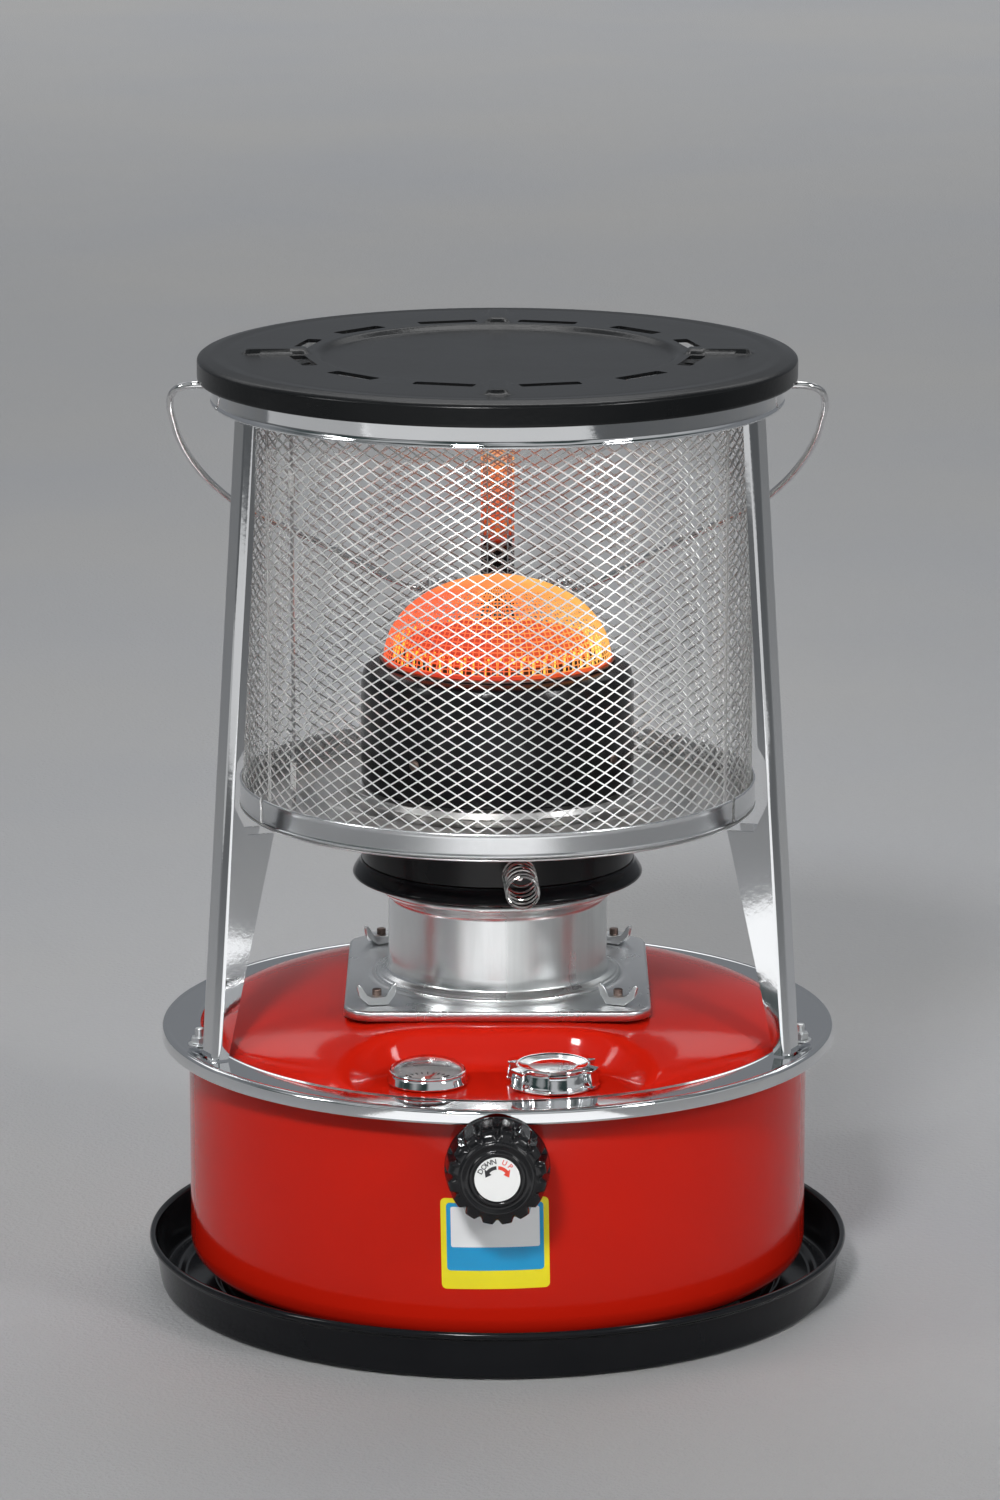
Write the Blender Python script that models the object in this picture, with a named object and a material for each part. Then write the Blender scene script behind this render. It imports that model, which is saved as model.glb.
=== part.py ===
# Round wick kerosene heater stove: red fuel tank on a black tray, wick burner, mesh guard and carrying handle
# Frame: origin at the centre of the tray's underside, +Z up, the front (knob, gauge, cap, door) towards -Y

import math

import bmesh
import bpy
from mathutils import Matrix, Vector

# Shared values

GAP = 0.0003
OVERRUN = 0.004
ROUND_STEPS = 24
TUBE_STEPS = 24
INSIDE_STEPS = 16
SMALL_STEPS = 12
TINY_STEPS = 8
SHARP_ANGLE = math.radians(32.0)
SHEET = 0.001
THIN_SHEET = 0.0008

# Drip tray

TRAY_RIM_RADIUS = 0.1630
TRAY_FOOT_RADIUS = 0.1580
TRAY_HEIGHT = 0.0240
TRAY_CORNER = 0.0030
TRAY_ROLL = 0.0034
TRAY_RIB_RADIUS = 0.1500
TRAY_RIB_WIDTH = 0.0070
TRAY_RIB_HEIGHT = 0.0024

# Fuel tank: lower cup, upper pressing, feet

TANK_RADIUS = 0.1435
TANK_BOTTOM = 0.0125
TANK_CORNER = 0.0120
TANK_FLANGE_RADIUS = 0.1500
TANK_SEAM = 0.1218
TANK_NECK_LIFT = 0.0022
FOOT_RADIUS = 0.0120
FOOT_CIRCLE_RADIUS = 0.1150
FOOT_COUNT = 3
DOME_EDGE_RADIUS = 0.1372
DOME_SHOULDER_RADIUS = 0.1280
DOME_SHOULDER_Z = 0.1310
DOME_FLAT_RADIUS = 0.0720
DOME_FLAT_Z = 0.1413
RECESS_HALF_WIDTH = 0.0600
RECESS_BACK_Y = -0.0870
RECESS_CORNER = 0.0360
RECESS_FLARE = 0.0110
BOSS_RADIUS = 0.0210
BOSS_FACE_SHARE = 0.62
BOSS_RISE = 0.0040

# Flange ring on the seam

RING_OUTER_RADIUS = 0.1562
RING_INNER_RADIUS = 0.1380
RING_TOP = 0.1246
RING_SHEET = 0.0012
RING_LIP = 0.0068
RING_CORNER = 0.0014
NOTCH_RADIUS = 0.0136

# Fuel gauge

GAUGE_X = -0.0314
GAUGE_Y = -0.1060
GAUGE_RADIUS = 0.0180
GAUGE_HEIGHT = 0.0042
GAUGE_WINDOW_RADIUS = 0.0163
GAUGE_HOLE_RADIUS = 0.0110
LENS_RISE = 0.0064
LENS_SHEET = 0.0010
DIAL_SHEET = 0.0008
STEM_RADIUS = 0.0020
STEM_DROP = 0.0240
FLOAT_ARM_RADIUS = 0.0010
FLOAT_ARM_LENGTH = 0.0430
FLOAT_RADIUS = 0.0090
FLOAT_HEIGHT = 0.0160
FLOAT_REST_ANGLE = math.radians(35.0)
HUB_RADIUS = 0.0024
HUB_WIDTH = 0.0030

# Filler neck and cap

FILLER_X = 0.0250
FILLER_Y = -0.1100
NECK_RADIUS = 0.0155
NECK_WALL = 0.0018
NECK_FLANGE_RADIUS = 0.0190
NECK_HEIGHT = 0.0076
CAP_RADIUS = 0.0205
CAP_HEIGHT = 0.0108
CAP_TOP_SHEET = 0.0014
CAP_DISH_DEPTH = 0.0028
CAP_RIM_WIDTH = 0.0042
CAP_LOBES = 6
CAP_LOBE_DEPTH = 0.0016
CAP_CLEARANCE = 0.0006

# Square mounting plate, gasket and wing nuts

PLATE_HALF = 0.0700
PLATE_CORNER = 0.0130
PLATE_TOP = 0.1463
GASKET_INNER_RADIUS = 0.0530
GASKET_OUTER_RADIUS = 0.0640
WING_NUT_DISTANCE = 0.1100
WING_HUB_RADIUS = 0.0046
WING_HUB_HEIGHT = 0.0052
WING_SPAN = 0.0190
WING_RISE = 0.0080
WING_THICKNESS = 0.0016
WING_STUD_RADIUS = 0.0021

# Wick casing

CASING_RADIUS = 0.0506
CASING_BOTTOM = 0.1240
CASING_TOP = 0.1905
CASING_BEAD_RADIUS = 0.0572
CASING_BEAD_HEIGHT = 0.0022
COLLAR_RADIUS = 0.0560
COLLAR_CROWN_RADIUS = 0.0512
COLLAR_WIDEST_Z = 0.1867
COLLAR_HEIGHT = 0.0110

# Draft tube and wick

DRAFT_RADIUS = 0.0410
DRAFT_FLANGE_RADIUS = 0.0500
DRAFT_TOP = 0.1930
DRAFT_HOLE_CLEARANCE = 0.0004
WICK_INNER_RADIUS = 0.0425
WICK_OUTER_RADIUS = 0.0455
WICK_BOTTOM = 0.0600
WICK_TOP = 0.1960
CARRIER_WIDTH = 0.0240
RACK_WIDTH = 0.0024
RACK_HEIGHT = 0.0340
RACK_DEPTH = 0.0040
PINION_RADIUS = 0.0060
PINION_WIDTH = 0.0040

# Knob and shaft

SHAFT_Z = 0.0990
SHAFT_RADIUS = 0.0030
SHAFT_CLEARANCE = 0.0004
GLAND_RADIUS = 0.0090
GLAND_LENGTH = 0.0036
KNOB_RADIUS = 0.0235
KNOB_STANDOFF = 0.0325
KNOB_DEPTH = 0.0235
KNOB_FLUTES = 16
KNOB_FLUTE_DEPTH = 0.0016
KNOB_SKIRT_SHARE = 0.80
KNOB_SHOULDER_SHARE = 0.86
KNOB_FACE_RADIUS = 0.0166
KNOB_FACE_RISE = 0.0018
KNOB_BORE_SHARE = 0.75
KNOB_DISC_RADIUS = 0.0102
KNOB_DISC_RECESS = 0.0010

# Burner: dish, drum, flame tubes, spreader, dome, lever

DISH_RADIUS = 0.0670
DISH_WIDEST_Z = 0.1952
DISH_HOLE_RADIUS = 0.0475
DISH_SEAT_RADIUS = 0.0518
DISH_TOP = 0.2022
DISH_SHOULDER_SHARE = 0.5
DISH_SHOULDER_DRAW_SHARE = 0.3
DRUM_RADIUS = 0.0628
DRUM_TOP = 0.2950
DRUM_SHOULDER_RADIUS = 0.0560
DRUM_SHOULDER_HEIGHT = 0.0090
DRUM_MOUTH_RADIUS = 0.0513
OUTER_TUBE_RADIUS = 0.0504
OUTER_TUBE_RIM = 0.0040
INNER_TUBE_RADIUS = 0.0374
SPREADER_RADIUS = 0.0425
SPREADER_TOP = 0.3060
SPREADER_SKIRT = 0.0066
GLOW_DOME_RADIUS = 0.0526
GLOW_DOME_TOP = 0.3340
LEVER_X = 0.0100
LEVER_Z = 0.2110
LEVER_ROD_RADIUS = 0.0015
LEVER_ROD_LENGTH = 0.0160
LEVER_TILT = math.radians(2.0)
GRIP_RADIUS = 0.0075
GRIP_WIRE_RADIUS = 0.0006
GRIP_TURNS = 9
GRIP_LENGTH = 0.0420
GRIP_START = 0.0020
CURL_POINTS = 8

# Guard: floor, bands, mesh, door

GUARD_RADIUS = 0.1174
BAND_RADIUS = 0.1186
BAND_TOP = 0.2400
FLOOR_RADIUS = 0.1190
FLOOR_Z = 0.2286
FLOOR_SLOPE_OUTER_RADIUS = 0.0912
FLOOR_SLOPE_INNER_RADIUS = 0.0845
FLOOR_STEP_Z = 0.2358
FLOOR_STEP_RADIUS = 0.0700
FLOOR_RAISED_Z = 0.2390
FLOOR_HOLE_RADIUS = 0.0640
DOOR_MESH_ANGLE = math.radians(61.0)
REAR_MESH_ANGLE = math.radians(62.2)
DOOR_BAND_ANGLE = math.radians(64.4)
REAR_BAND_ANGLE = math.radians(64.8)
STRAND_WIDTH = 0.0022
STRAND_SHEET = 0.0010
DOOR_COLUMNS = 8
REAR_COLUMNS = 14
MESH_ROWS = 10
# Cells left out low in the rear net, where the tail of the door's band swings in
TAIL_RELIEF = ((REAR_COLUMNS, 1), (REAR_COLUMNS - 1, 0))
HINGE_ANGLE = math.radians(54.0)
HINGE_ROD_RADIUS = 0.0008
KNUCKLE_RADIUS = 0.0016
KNUCKLE_LENGTH = 0.0120
KNUCKLE_INSET = 0.0200

# Top ring and cooking plate

TOP_RING_RADIUS = 0.1300
TOP_RING_Z = 0.4160
TOP_RING_FLANGE_WIDTH = 0.0170
TOP_RING_BEAD = 0.0009
PLATE_RADIUS = 0.1366
PLATE_SKIRT_Z = 0.4266
PLATE_FLAT_Z = 0.4378
PLATE_SHEET = 0.0016
PLATE_SHOULDER = 0.0050
PLATE_DISC_RADIUS = 0.0790
PLATE_DISC_Z = 0.4356
PLATE_DISC_SLOPE = 0.0030
SLOT_COUNT = 12
SLOT_RADIUS = 0.0905
SLOT_LENGTH = 0.0280
SLOT_WIDTH = 0.0056
RIB_COUNT = 4
RIB_RADIUS = 0.1005
RIB_LENGTH = 0.0260
RIB_WIDTH = 0.0110
RIB_TOP = 0.4400

# Legs

LEG_WIDTH = 0.0160
LEG_CHAMFER = 0.0027
LEG_FOOT_RADIUS = 0.1490
LEG_LEAN = 0.0192
LEG_FOOT_DEPTH = 0.0070
LEG_BRACKET_RADIUS = 0.1180
LEG_LEDGE_RADIUS = 0.1310
LEG_NOTCH_DEPTH = 0.0036
LEG_NOTCH_START_Z = 0.2420
LEG_NOTCH_END_Z = 0.2620
LEG_NOTCH_RAMP = 0.0060
LEG_TOP_DEPTH = 0.0058
LEG_LEDGE_DROP = 0.0003
LEG_ANGLES = (math.radians(-62.5), math.radians(65.5), math.radians(180.0))
TAB_LENGTH = 0.0140
TAB_WIDTH = 0.0120
TAB_RADIUS = 0.1480
BOLT_HEAD_RADIUS = 0.0042
BOLT_HEAD_HEIGHT = 0.0034
BOLT_STUD_RADIUS = 0.0020
BOLT_HEIGHT = 0.0080

# Carrying handle

BAIL_Z = 0.4226
BAIL_WIRE_RADIUS = 0.00175
BAIL_HOLE_CLEARANCE = 0.0004
BAIL_END_X = 0.1262
BAIL_HALF_WIDTH = 0.1496
BAIL_ARM_LENGTH = 0.1898
BAIL_PATH_STEPS = 2
BAIL_WIDTH_SHARES = (0.885, 0.947, 0.982, 1.0, 0.996, 0.978, 0.935, 0.881, 0.822, 0.713, 0.580, 0.445, 0.330, 0.255)
BAIL_REACH_SHARES = (0.0, 0.003, 0.024, 0.072, 0.163, 0.268, 0.388, 0.486, 0.562, 0.654, 0.753, 0.863, 0.956, 0.995)
BAIL_GRIP_RADIUS = 0.0060
BAIL_GRIP_WIRE_RADIUS = 0.0007
BAIL_GRIP_LENGTH = 0.0770
BAIL_GRIP_TURNS = 20
BAIL_CURL_POINTS = 8

# Places worked out from the values above

RING_UNDERSIDE = RING_TOP - RING_SHEET
UPPER_FLANGE_TOP = RING_UNDERSIDE - GAP
UPPER_FLANGE_BOTTOM = UPPER_FLANGE_TOP - SHEET
LOWER_FLANGE_TOP = min(UPPER_FLANGE_BOTTOM - GAP, TANK_SEAM)
LOWER_FLANGE_BOTTOM = LOWER_FLANGE_TOP - SHEET
RECESS_FLOOR = UPPER_FLANGE_TOP + GAP
BOSS_FACE_Y = -(TANK_RADIUS + BOSS_RISE)
KNOB_FRONT_Y = -(TANK_RADIUS + KNOB_STANDOFF)
PLATE_UNDERSIDE = PLATE_TOP - SHEET
CASING_HOLE_RADIUS = CASING_RADIUS + GAP
TANK_HOLE_RADIUS = CASING_RADIUS + SHEET + GAP
DRUM_BOTTOM = DISH_TOP + GAP
DISH_BOTTOM = CASING_TOP + GAP
OUTER_TUBE_BOTTOM = DISH_BOTTOM + SHEET + GAP
OUTER_TUBE_TOP = DRUM_TOP + GAP + THIN_SHEET
GLOW_DOME_BASE = OUTER_TUBE_TOP + GAP
INNER_TUBE_BOTTOM = DRAFT_TOP + GAP
INNER_TUBE_TOP = SPREADER_TOP - THIN_SHEET - GAP
FLOOR_TOP = FLOOR_Z + THIN_SHEET
GUARD_BOTTOM = FLOOR_TOP + GAP
GUARD_TOP = TOP_RING_Z - GAP
BAND_INNER_RADIUS = BAND_RADIUS - THIN_SHEET
DOOR_FACET_SHARE = math.cos(DOOR_MESH_ANGLE / DOOR_COLUMNS)
HINGE_RADIUS = (GUARD_RADIUS - STRAND_SHEET) * DOOR_FACET_SHARE - GAP - KNUCKLE_RADIUS
LEG_BOTTOM = RING_TOP + GAP
LEG_TOP = TOP_RING_Z - GAP
TOP_RING_INNER_RADIUS = TOP_RING_RADIUS - TOP_RING_FLANGE_WIDTH
TOP_RING_WALL_TOP = PLATE_FLAT_Z - PLATE_SHEET - GAP

# Shape helpers


def material(name, colour, roughness, metallic):
    made = bpy.data.materials.new(name)
    made.use_nodes = True
    shader = made.node_tree.nodes["Principled BSDF"]
    shader.inputs["Base Color"].default_value = (*colour, 1.0)
    shader.inputs["Roughness"].default_value = roughness
    shader.inputs["Metallic"].default_value = metallic
    return made


def place(name, data, colour, roughness, metallic, location=(0, 0, 0), rotation=(0, 0, 0)):
    made = bpy.data.objects.new(name, data)
    bpy.context.scene.collection.objects.link(made)
    made.location = location
    made.rotation_euler = rotation
    data.materials.append(material(name, colour, roughness, metallic))
    return made


def solid(name, bm, colour, roughness, metallic, location=(0, 0, 0), rotation=(0, 0, 0)):
    if not any(edge.is_boundary for edge in bm.edges):
        bmesh.ops.recalc_face_normals(bm, faces=bm.faces)
    mesh = bpy.data.meshes.new(name)
    bm.to_mesh(mesh)
    bm.free()
    mesh.shade_smooth()
    mesh.set_sharp_from_angle(angle=SHARP_ANGLE)
    return place(name, mesh, colour, roughness, metallic, location, rotation)


def cutter(name, bm, location=(0, 0, 0), rotation=(0, 0, 0)):
    bmesh.ops.recalc_face_normals(bm, faces=bm.faces)
    mesh = bpy.data.meshes.new(name)
    bm.to_mesh(mesh)
    bm.free()
    made = bpy.data.objects.new(name, mesh)
    bpy.context.scene.collection.objects.link(made)
    made.location = location
    made.rotation_euler = rotation
    made.hide_render = True
    made.display_type = "WIRE"
    return made


def combine(target, other, operation):
    step = target.modifiers.new(other.name, "BOOLEAN")
    step.operation = operation
    step.solver = "EXACT"
    step.object = other


def turned(bm, outline, steps):
    # An outline of (radius, height) that starts and ends on the axis stays open, any other is closed
    verts = [bm.verts.new((radius, 0, height)) for radius, height in outline]
    pairs = list(zip(verts, verts[1:]))
    if outline[0][0] > 0:
        pairs.append((verts[-1], verts[0]))
    edges = [bm.edges.new(pair) for pair in pairs]
    bmesh.ops.spin(bm, geom=verts + edges, axis=(0, 0, 1), cent=(0, 0, 0), steps=steps,
                   angle=math.tau, use_merge=True)
    bmesh.ops.remove_doubles(bm, verts=bm.verts, dist=GAP / 100)
    return bm


def turned_solid(outline, steps=ROUND_STEPS):
    return turned(bmesh.new(), outline, steps)


def ring_outline(inner, outer, low, high):
    return [(inner, low), (outer, low), (outer, high), (inner, high)]


def lofted(rings, looped=False):
    # Each ring has as many points as the next; without a loop the first and last are capped
    bm = bmesh.new()
    rows = [[bm.verts.new(point) for point in ring] for ring in rings]
    count = len(rows[0])
    steps = list(zip(rows, rows[1:]))
    if looped:
        steps.append((rows[-1], rows[0]))
    for low, high in steps:
        for k in range(count):
            n = (k + 1) % count
            bm.faces.new((low[k], low[n], high[n], high[k]))
    if not looped:
        bm.faces.new(rows[0])
        bm.faces.new(rows[-1])
    return bm


def lobed_ring(radius, height, depth, lobes, per_lobe):
    # The first point of each lobe lies in its groove
    points = []
    for k in range(lobes * per_lobe):
        reach = radius - (depth if k % per_lobe == 0 else 0)
        turn = math.tau * k / (lobes * per_lobe)
        points.append((reach * math.cos(turn), reach * math.sin(turn), height))
    return points


def rounded_square(half_x, half_y, corner, height, centre_y=0.0, per_corner=5):
    points = []
    for quarter in range(4):
        sign_x = (1, -1, -1, 1)[quarter]
        sign_y = (1, 1, -1, -1)[quarter]
        for k in range(per_corner):
            turn = math.radians(90.0) * (quarter + k / (per_corner - 1))
            points.append((sign_x * (half_x - corner) + corner * math.cos(turn),
                           centre_y + sign_y * (half_y - corner) + corner * math.sin(turn),
                           height))
    return points


def box(low, high):
    bm = bmesh.new()
    bmesh.ops.create_cube(bm, size=1)
    low, high = Vector(low), Vector(high)
    bmesh.ops.scale(bm, vec=high - low, verts=bm.verts)
    bmesh.ops.translate(bm, vec=(low + high) / 2, verts=bm.verts)
    return bm


def rod_outline(radius, low, high):
    return [(0, low), (radius, low), (radius, high), (0, high)]


def wire(name, points, radius, resolution, colour, roughness, metallic, location=(0, 0, 0), rotation=(0, 0, 0)):
    curve = bpy.data.curves.new(name, "CURVE")
    curve.dimensions = "3D"
    curve.bevel_depth = radius
    curve.bevel_resolution = resolution
    curve.use_fill_caps = True
    spline = curve.splines.new("POLY")
    spline.points.add(len(points) - 1)
    for target, point in zip(spline.points, points):
        target.co = (*point, 1.0)
    return place(name, curve, colour, roughness, metallic, location, rotation)


def smooth_path(points, steps):
    # Catmull-Rom curve through the points
    held = [points[0], *points, points[-1]]
    path = []
    for a, b, c, d in zip(held, held[1:], held[2:], held[3:]):
        for k in range(steps):
            t = k / steps
            path.append(0.5 * (2 * b + (c - a) * t + (2 * a - 5 * b + 4 * c - d) * t ** 2
                               + (3 * b - a - 3 * c + d) * t ** 3))
    path.append(points[-1])
    return path


def winding(radius, wire_radius, core_radius, length, turns, per_turn, tight_ends):
    # A coil along +Z whose marked end turns close in on the core
    centre = radius - wire_radius
    seated = core_radius + wire_radius + GAP
    points = []
    for k in range(turns * per_turn + 1):
        done = k / per_turn
        reach = centre
        if "start" in tight_ends and done < 1:
            reach = seated + (centre - seated) * done
        if "end" in tight_ends and turns - done < 1:
            reach = seated + (centre - seated) * (turns - done)
        turn = math.tau * done
        points.append(Vector((reach * math.cos(turn), reach * math.sin(turn), length * done / turns)))
    return points


def print_least_gap(name, points, wire_radius, per_turn):
    # Points half a turn apart or more are neighbours only across the winding
    least = min((points[i] - points[j]).length
                for i in range(len(points)) for j in range(i + per_turn // 2, len(points)))
    print(name, "least gap to itself, mm:", round((least - 2 * wire_radius) * 1000, 2))


def on_guard(radius, turn, height):
    # The turn is measured from the front, positive to the right
    return Vector((radius * math.sin(turn), -radius * math.cos(turn), height))


# Tray and tank


def drip_tray():
    wall = SHEET
    rib_in = TRAY_RIB_RADIUS - TRAY_RIB_WIDTH / 2
    rib_out = TRAY_RIB_RADIUS + TRAY_RIB_WIDTH / 2
    neck = TRAY_RIM_RADIUS - TRAY_ROLL / 2
    roll_low = TRAY_HEIGHT - TRAY_ROLL
    outline = [
        (0, 0), (rib_in, 0), (TRAY_RIB_RADIUS, TRAY_RIB_HEIGHT), (rib_out, 0),
        (TRAY_FOOT_RADIUS - TRAY_CORNER, 0), (TRAY_FOOT_RADIUS, TRAY_CORNER),
        (neck, roll_low), (TRAY_RIM_RADIUS, roll_low + wall),
        (TRAY_RIM_RADIUS, TRAY_HEIGHT - wall), (neck, TRAY_HEIGHT), (neck - wall, TRAY_HEIGHT - wall),
        (TRAY_FOOT_RADIUS - wall, TRAY_CORNER + wall / 2), (TRAY_FOOT_RADIUS - TRAY_CORNER, wall),
        (rib_out, wall), (TRAY_RIB_RADIUS, TRAY_RIB_HEIGHT + wall), (rib_in, wall), (0, wall),
    ]
    return solid("drip_tray", turned_solid(outline), (0.012, 0.013, 0.016), 0.16, 0.0)


def tank_cup():
    inner = DRAFT_RADIUS + DRAFT_HOLE_CLEARANCE
    turns = [math.radians(90.0) * k / 3 for k in range(4)]
    centre = TANK_RADIUS - TANK_CORNER
    arc_z = TANK_BOTTOM + TANK_CORNER
    outside = [(centre + TANK_CORNER * math.sin(t), arc_z - TANK_CORNER * math.cos(t)) for t in turns]
    inside_radius = TANK_CORNER - SHEET
    inside = [(centre + inside_radius * math.sin(t), arc_z - inside_radius * math.cos(t)) for t in reversed(turns)]
    outline = [
        (inner, TANK_BOTTOM), *outside,
        (TANK_RADIUS, LOWER_FLANGE_BOTTOM), (TANK_FLANGE_RADIUS, LOWER_FLANGE_BOTTOM),
        (TANK_FLANGE_RADIUS, LOWER_FLANGE_TOP), (TANK_RADIUS - SHEET, LOWER_FLANGE_TOP),
        *inside, (inner, TANK_BOTTOM + SHEET),
    ]
    cup = solid("tank_cup", turned_solid(outline), (0.55, 0.012, 0.010), 0.14, 0.0)
    seat = TANK_RADIUS - SHEET / 2
    boss_outline = [(0, seat - BOSS_RISE), (BOSS_RADIUS, seat - BOSS_RISE), (BOSS_RADIUS, seat),
                    (BOSS_RADIUS * BOSS_FACE_SHARE, -BOSS_FACE_Y), (0, -BOSS_FACE_Y)]
    boss = cutter("tank_boss", turned_solid(boss_outline, INSIDE_STEPS), (0, 0, SHAFT_Z), (math.radians(90.0), 0, 0))
    hollow = cutter("boss_hollow", turned_solid(rod_outline(TANK_RADIUS - SHEET, 0, TANK_BOTTOM + SHAFT_Z)),
                    (0, 0, SHAFT_Z / 2))
    combine(boss, hollow, "DIFFERENCE")
    hole_outline = rod_outline(SHAFT_RADIUS + SHAFT_CLEARANCE, TANK_RADIUS - BOSS_RADIUS, OVERRUN - BOSS_FACE_Y)
    hole = cutter("shaft_hole", turned_solid(hole_outline, SMALL_STEPS), (0, 0, SHAFT_Z), (math.radians(90.0), 0, 0))
    combine(cup, boss, "UNION")
    combine(cup, hole, "DIFFERENCE")
    return cup


def dome_outline(sheet):
    # The upper pressing's outer face, or its inner face a sheet below it
    rise = sheet
    return [
        (DOME_EDGE_RADIUS - sheet, UPPER_FLANGE_TOP - rise),
        (DOME_SHOULDER_RADIUS + (DOME_EDGE_RADIUS - DOME_SHOULDER_RADIUS) * 0.55 - sheet,
         UPPER_FLANGE_TOP + (DOME_SHOULDER_Z - UPPER_FLANGE_TOP) * 0.62 - rise),
        (DOME_SHOULDER_RADIUS - sheet, DOME_SHOULDER_Z - rise),
        (DOME_FLAT_RADIUS + (DOME_SHOULDER_RADIUS - DOME_FLAT_RADIUS) * 0.6,
         DOME_SHOULDER_Z + (DOME_FLAT_Z - DOME_SHOULDER_Z) * 0.62 - rise),
        (DOME_FLAT_RADIUS, DOME_FLAT_Z - rise),
        (0, DOME_FLAT_Z - rise),
    ]


def recess_cutter(name, sheet):
    # A D-shaped hollow, open past the dome's front edge, whose walls lean outwards
    front = -(DOME_EDGE_RADIUS + OVERRUN)
    rings = []
    for height, flare in ((RECESS_FLOOR, 0), (RECESS_FLOOR + (DOME_FLAT_Z - RECESS_FLOOR) * 0.35, RECESS_FLARE * 0.3),
                          (DOME_FLAT_Z + OVERRUN, RECESS_FLARE)):
        back = RECESS_BACK_Y + flare + sheet
        half_y = (back - front) / 2
        rings.append(rounded_square(RECESS_HALF_WIDTH + flare + sheet, half_y, RECESS_CORNER * 0.6 + flare,
                                    height - sheet, front + half_y, 6))
    return cutter(name, lofted(rings))


def tank_top():
    outline = [(0, UPPER_FLANGE_BOTTOM), (TANK_FLANGE_RADIUS, UPPER_FLANGE_BOTTOM),
               (TANK_FLANGE_RADIUS, UPPER_FLANGE_TOP), *dome_outline(0)]
    top = solid("tank_top", turned_solid(outline), (0.55, 0.012, 0.010), 0.14, 0.0)
    combine(top, recess_cutter("recess_outside", 0), "DIFFERENCE")
    hollow_outline = [(0, UPPER_FLANGE_BOTTOM - OVERRUN), (DOME_EDGE_RADIUS - SHEET, UPPER_FLANGE_BOTTOM - OVERRUN),
                      *dome_outline(SHEET)]
    hollow = cutter("tank_top_hollow", turned_solid(hollow_outline))
    combine(hollow, recess_cutter("recess_inside", SHEET), "DIFFERENCE")
    combine(top, hollow, "DIFFERENCE")
    for name, radius, x, y in (("casing_hole", TANK_HOLE_RADIUS, 0, 0),
                               ("gauge_hole", GAUGE_HOLE_RADIUS, GAUGE_X, GAUGE_Y),
                               ("filler_hole", NECK_RADIUS - NECK_WALL + GAP, FILLER_X, FILLER_Y)):
        steps = TUBE_STEPS if x == 0 else INSIDE_STEPS
        outline = rod_outline(radius, UPPER_FLANGE_BOTTOM - OVERRUN, DOME_FLAT_Z + OVERRUN)
        combine(top, cutter(name, turned_solid(outline, steps), (x, y, 0)), "DIFFERENCE")
    return top


def tank_feet():
    low = SHEET + GAP
    outline = [(0, low), (FOOT_RADIUS - SHEET, low), (FOOT_RADIUS, low + SHEET),
               (FOOT_RADIUS, TANK_BOTTOM - GAP), (0, TANK_BOTTOM - GAP)]
    for k in range(FOOT_COUNT):
        turn = math.tau * (k + 0.5) / FOOT_COUNT
        centre = on_guard(FOOT_CIRCLE_RADIUS, turn, 0)
        solid(f"tank_foot_{k + 1}", turned_solid(outline, SMALL_STEPS), (0.02, 0.02, 0.02), 0.7, 0.0, centre)


def flange_ring():
    lip_z = RING_TOP - RING_LIP
    edge = RING_OUTER_RADIUS
    inner_edge = edge - RING_SHEET
    outline = [
        (RING_INNER_RADIUS, RING_UNDERSIDE), (inner_edge - RING_CORNER / 2, RING_UNDERSIDE),
        (inner_edge, RING_UNDERSIDE - RING_CORNER / 2), (inner_edge, lip_z), (edge, lip_z),
        (edge, RING_TOP - RING_CORNER), (edge - RING_CORNER, RING_TOP), (RING_INNER_RADIUS, RING_TOP),
    ]
    ring = solid("flange_ring", turned_solid(outline), (0.72, 0.73, 0.75), 0.13, 1.0)
    notch_outline = rod_outline(NOTCH_RADIUS, TANK_FLANGE_RADIUS + RING_SHEET, edge + OVERRUN)
    notch = cutter("lip_notch", turned_solid(notch_outline, INSIDE_STEPS), (0, 0, lip_z - NOTCH_RADIUS * 0.6),
                   (math.radians(90.0), 0, 0))
    combine(ring, notch, "DIFFERENCE")
    return ring


# Gauge and filler


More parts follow.
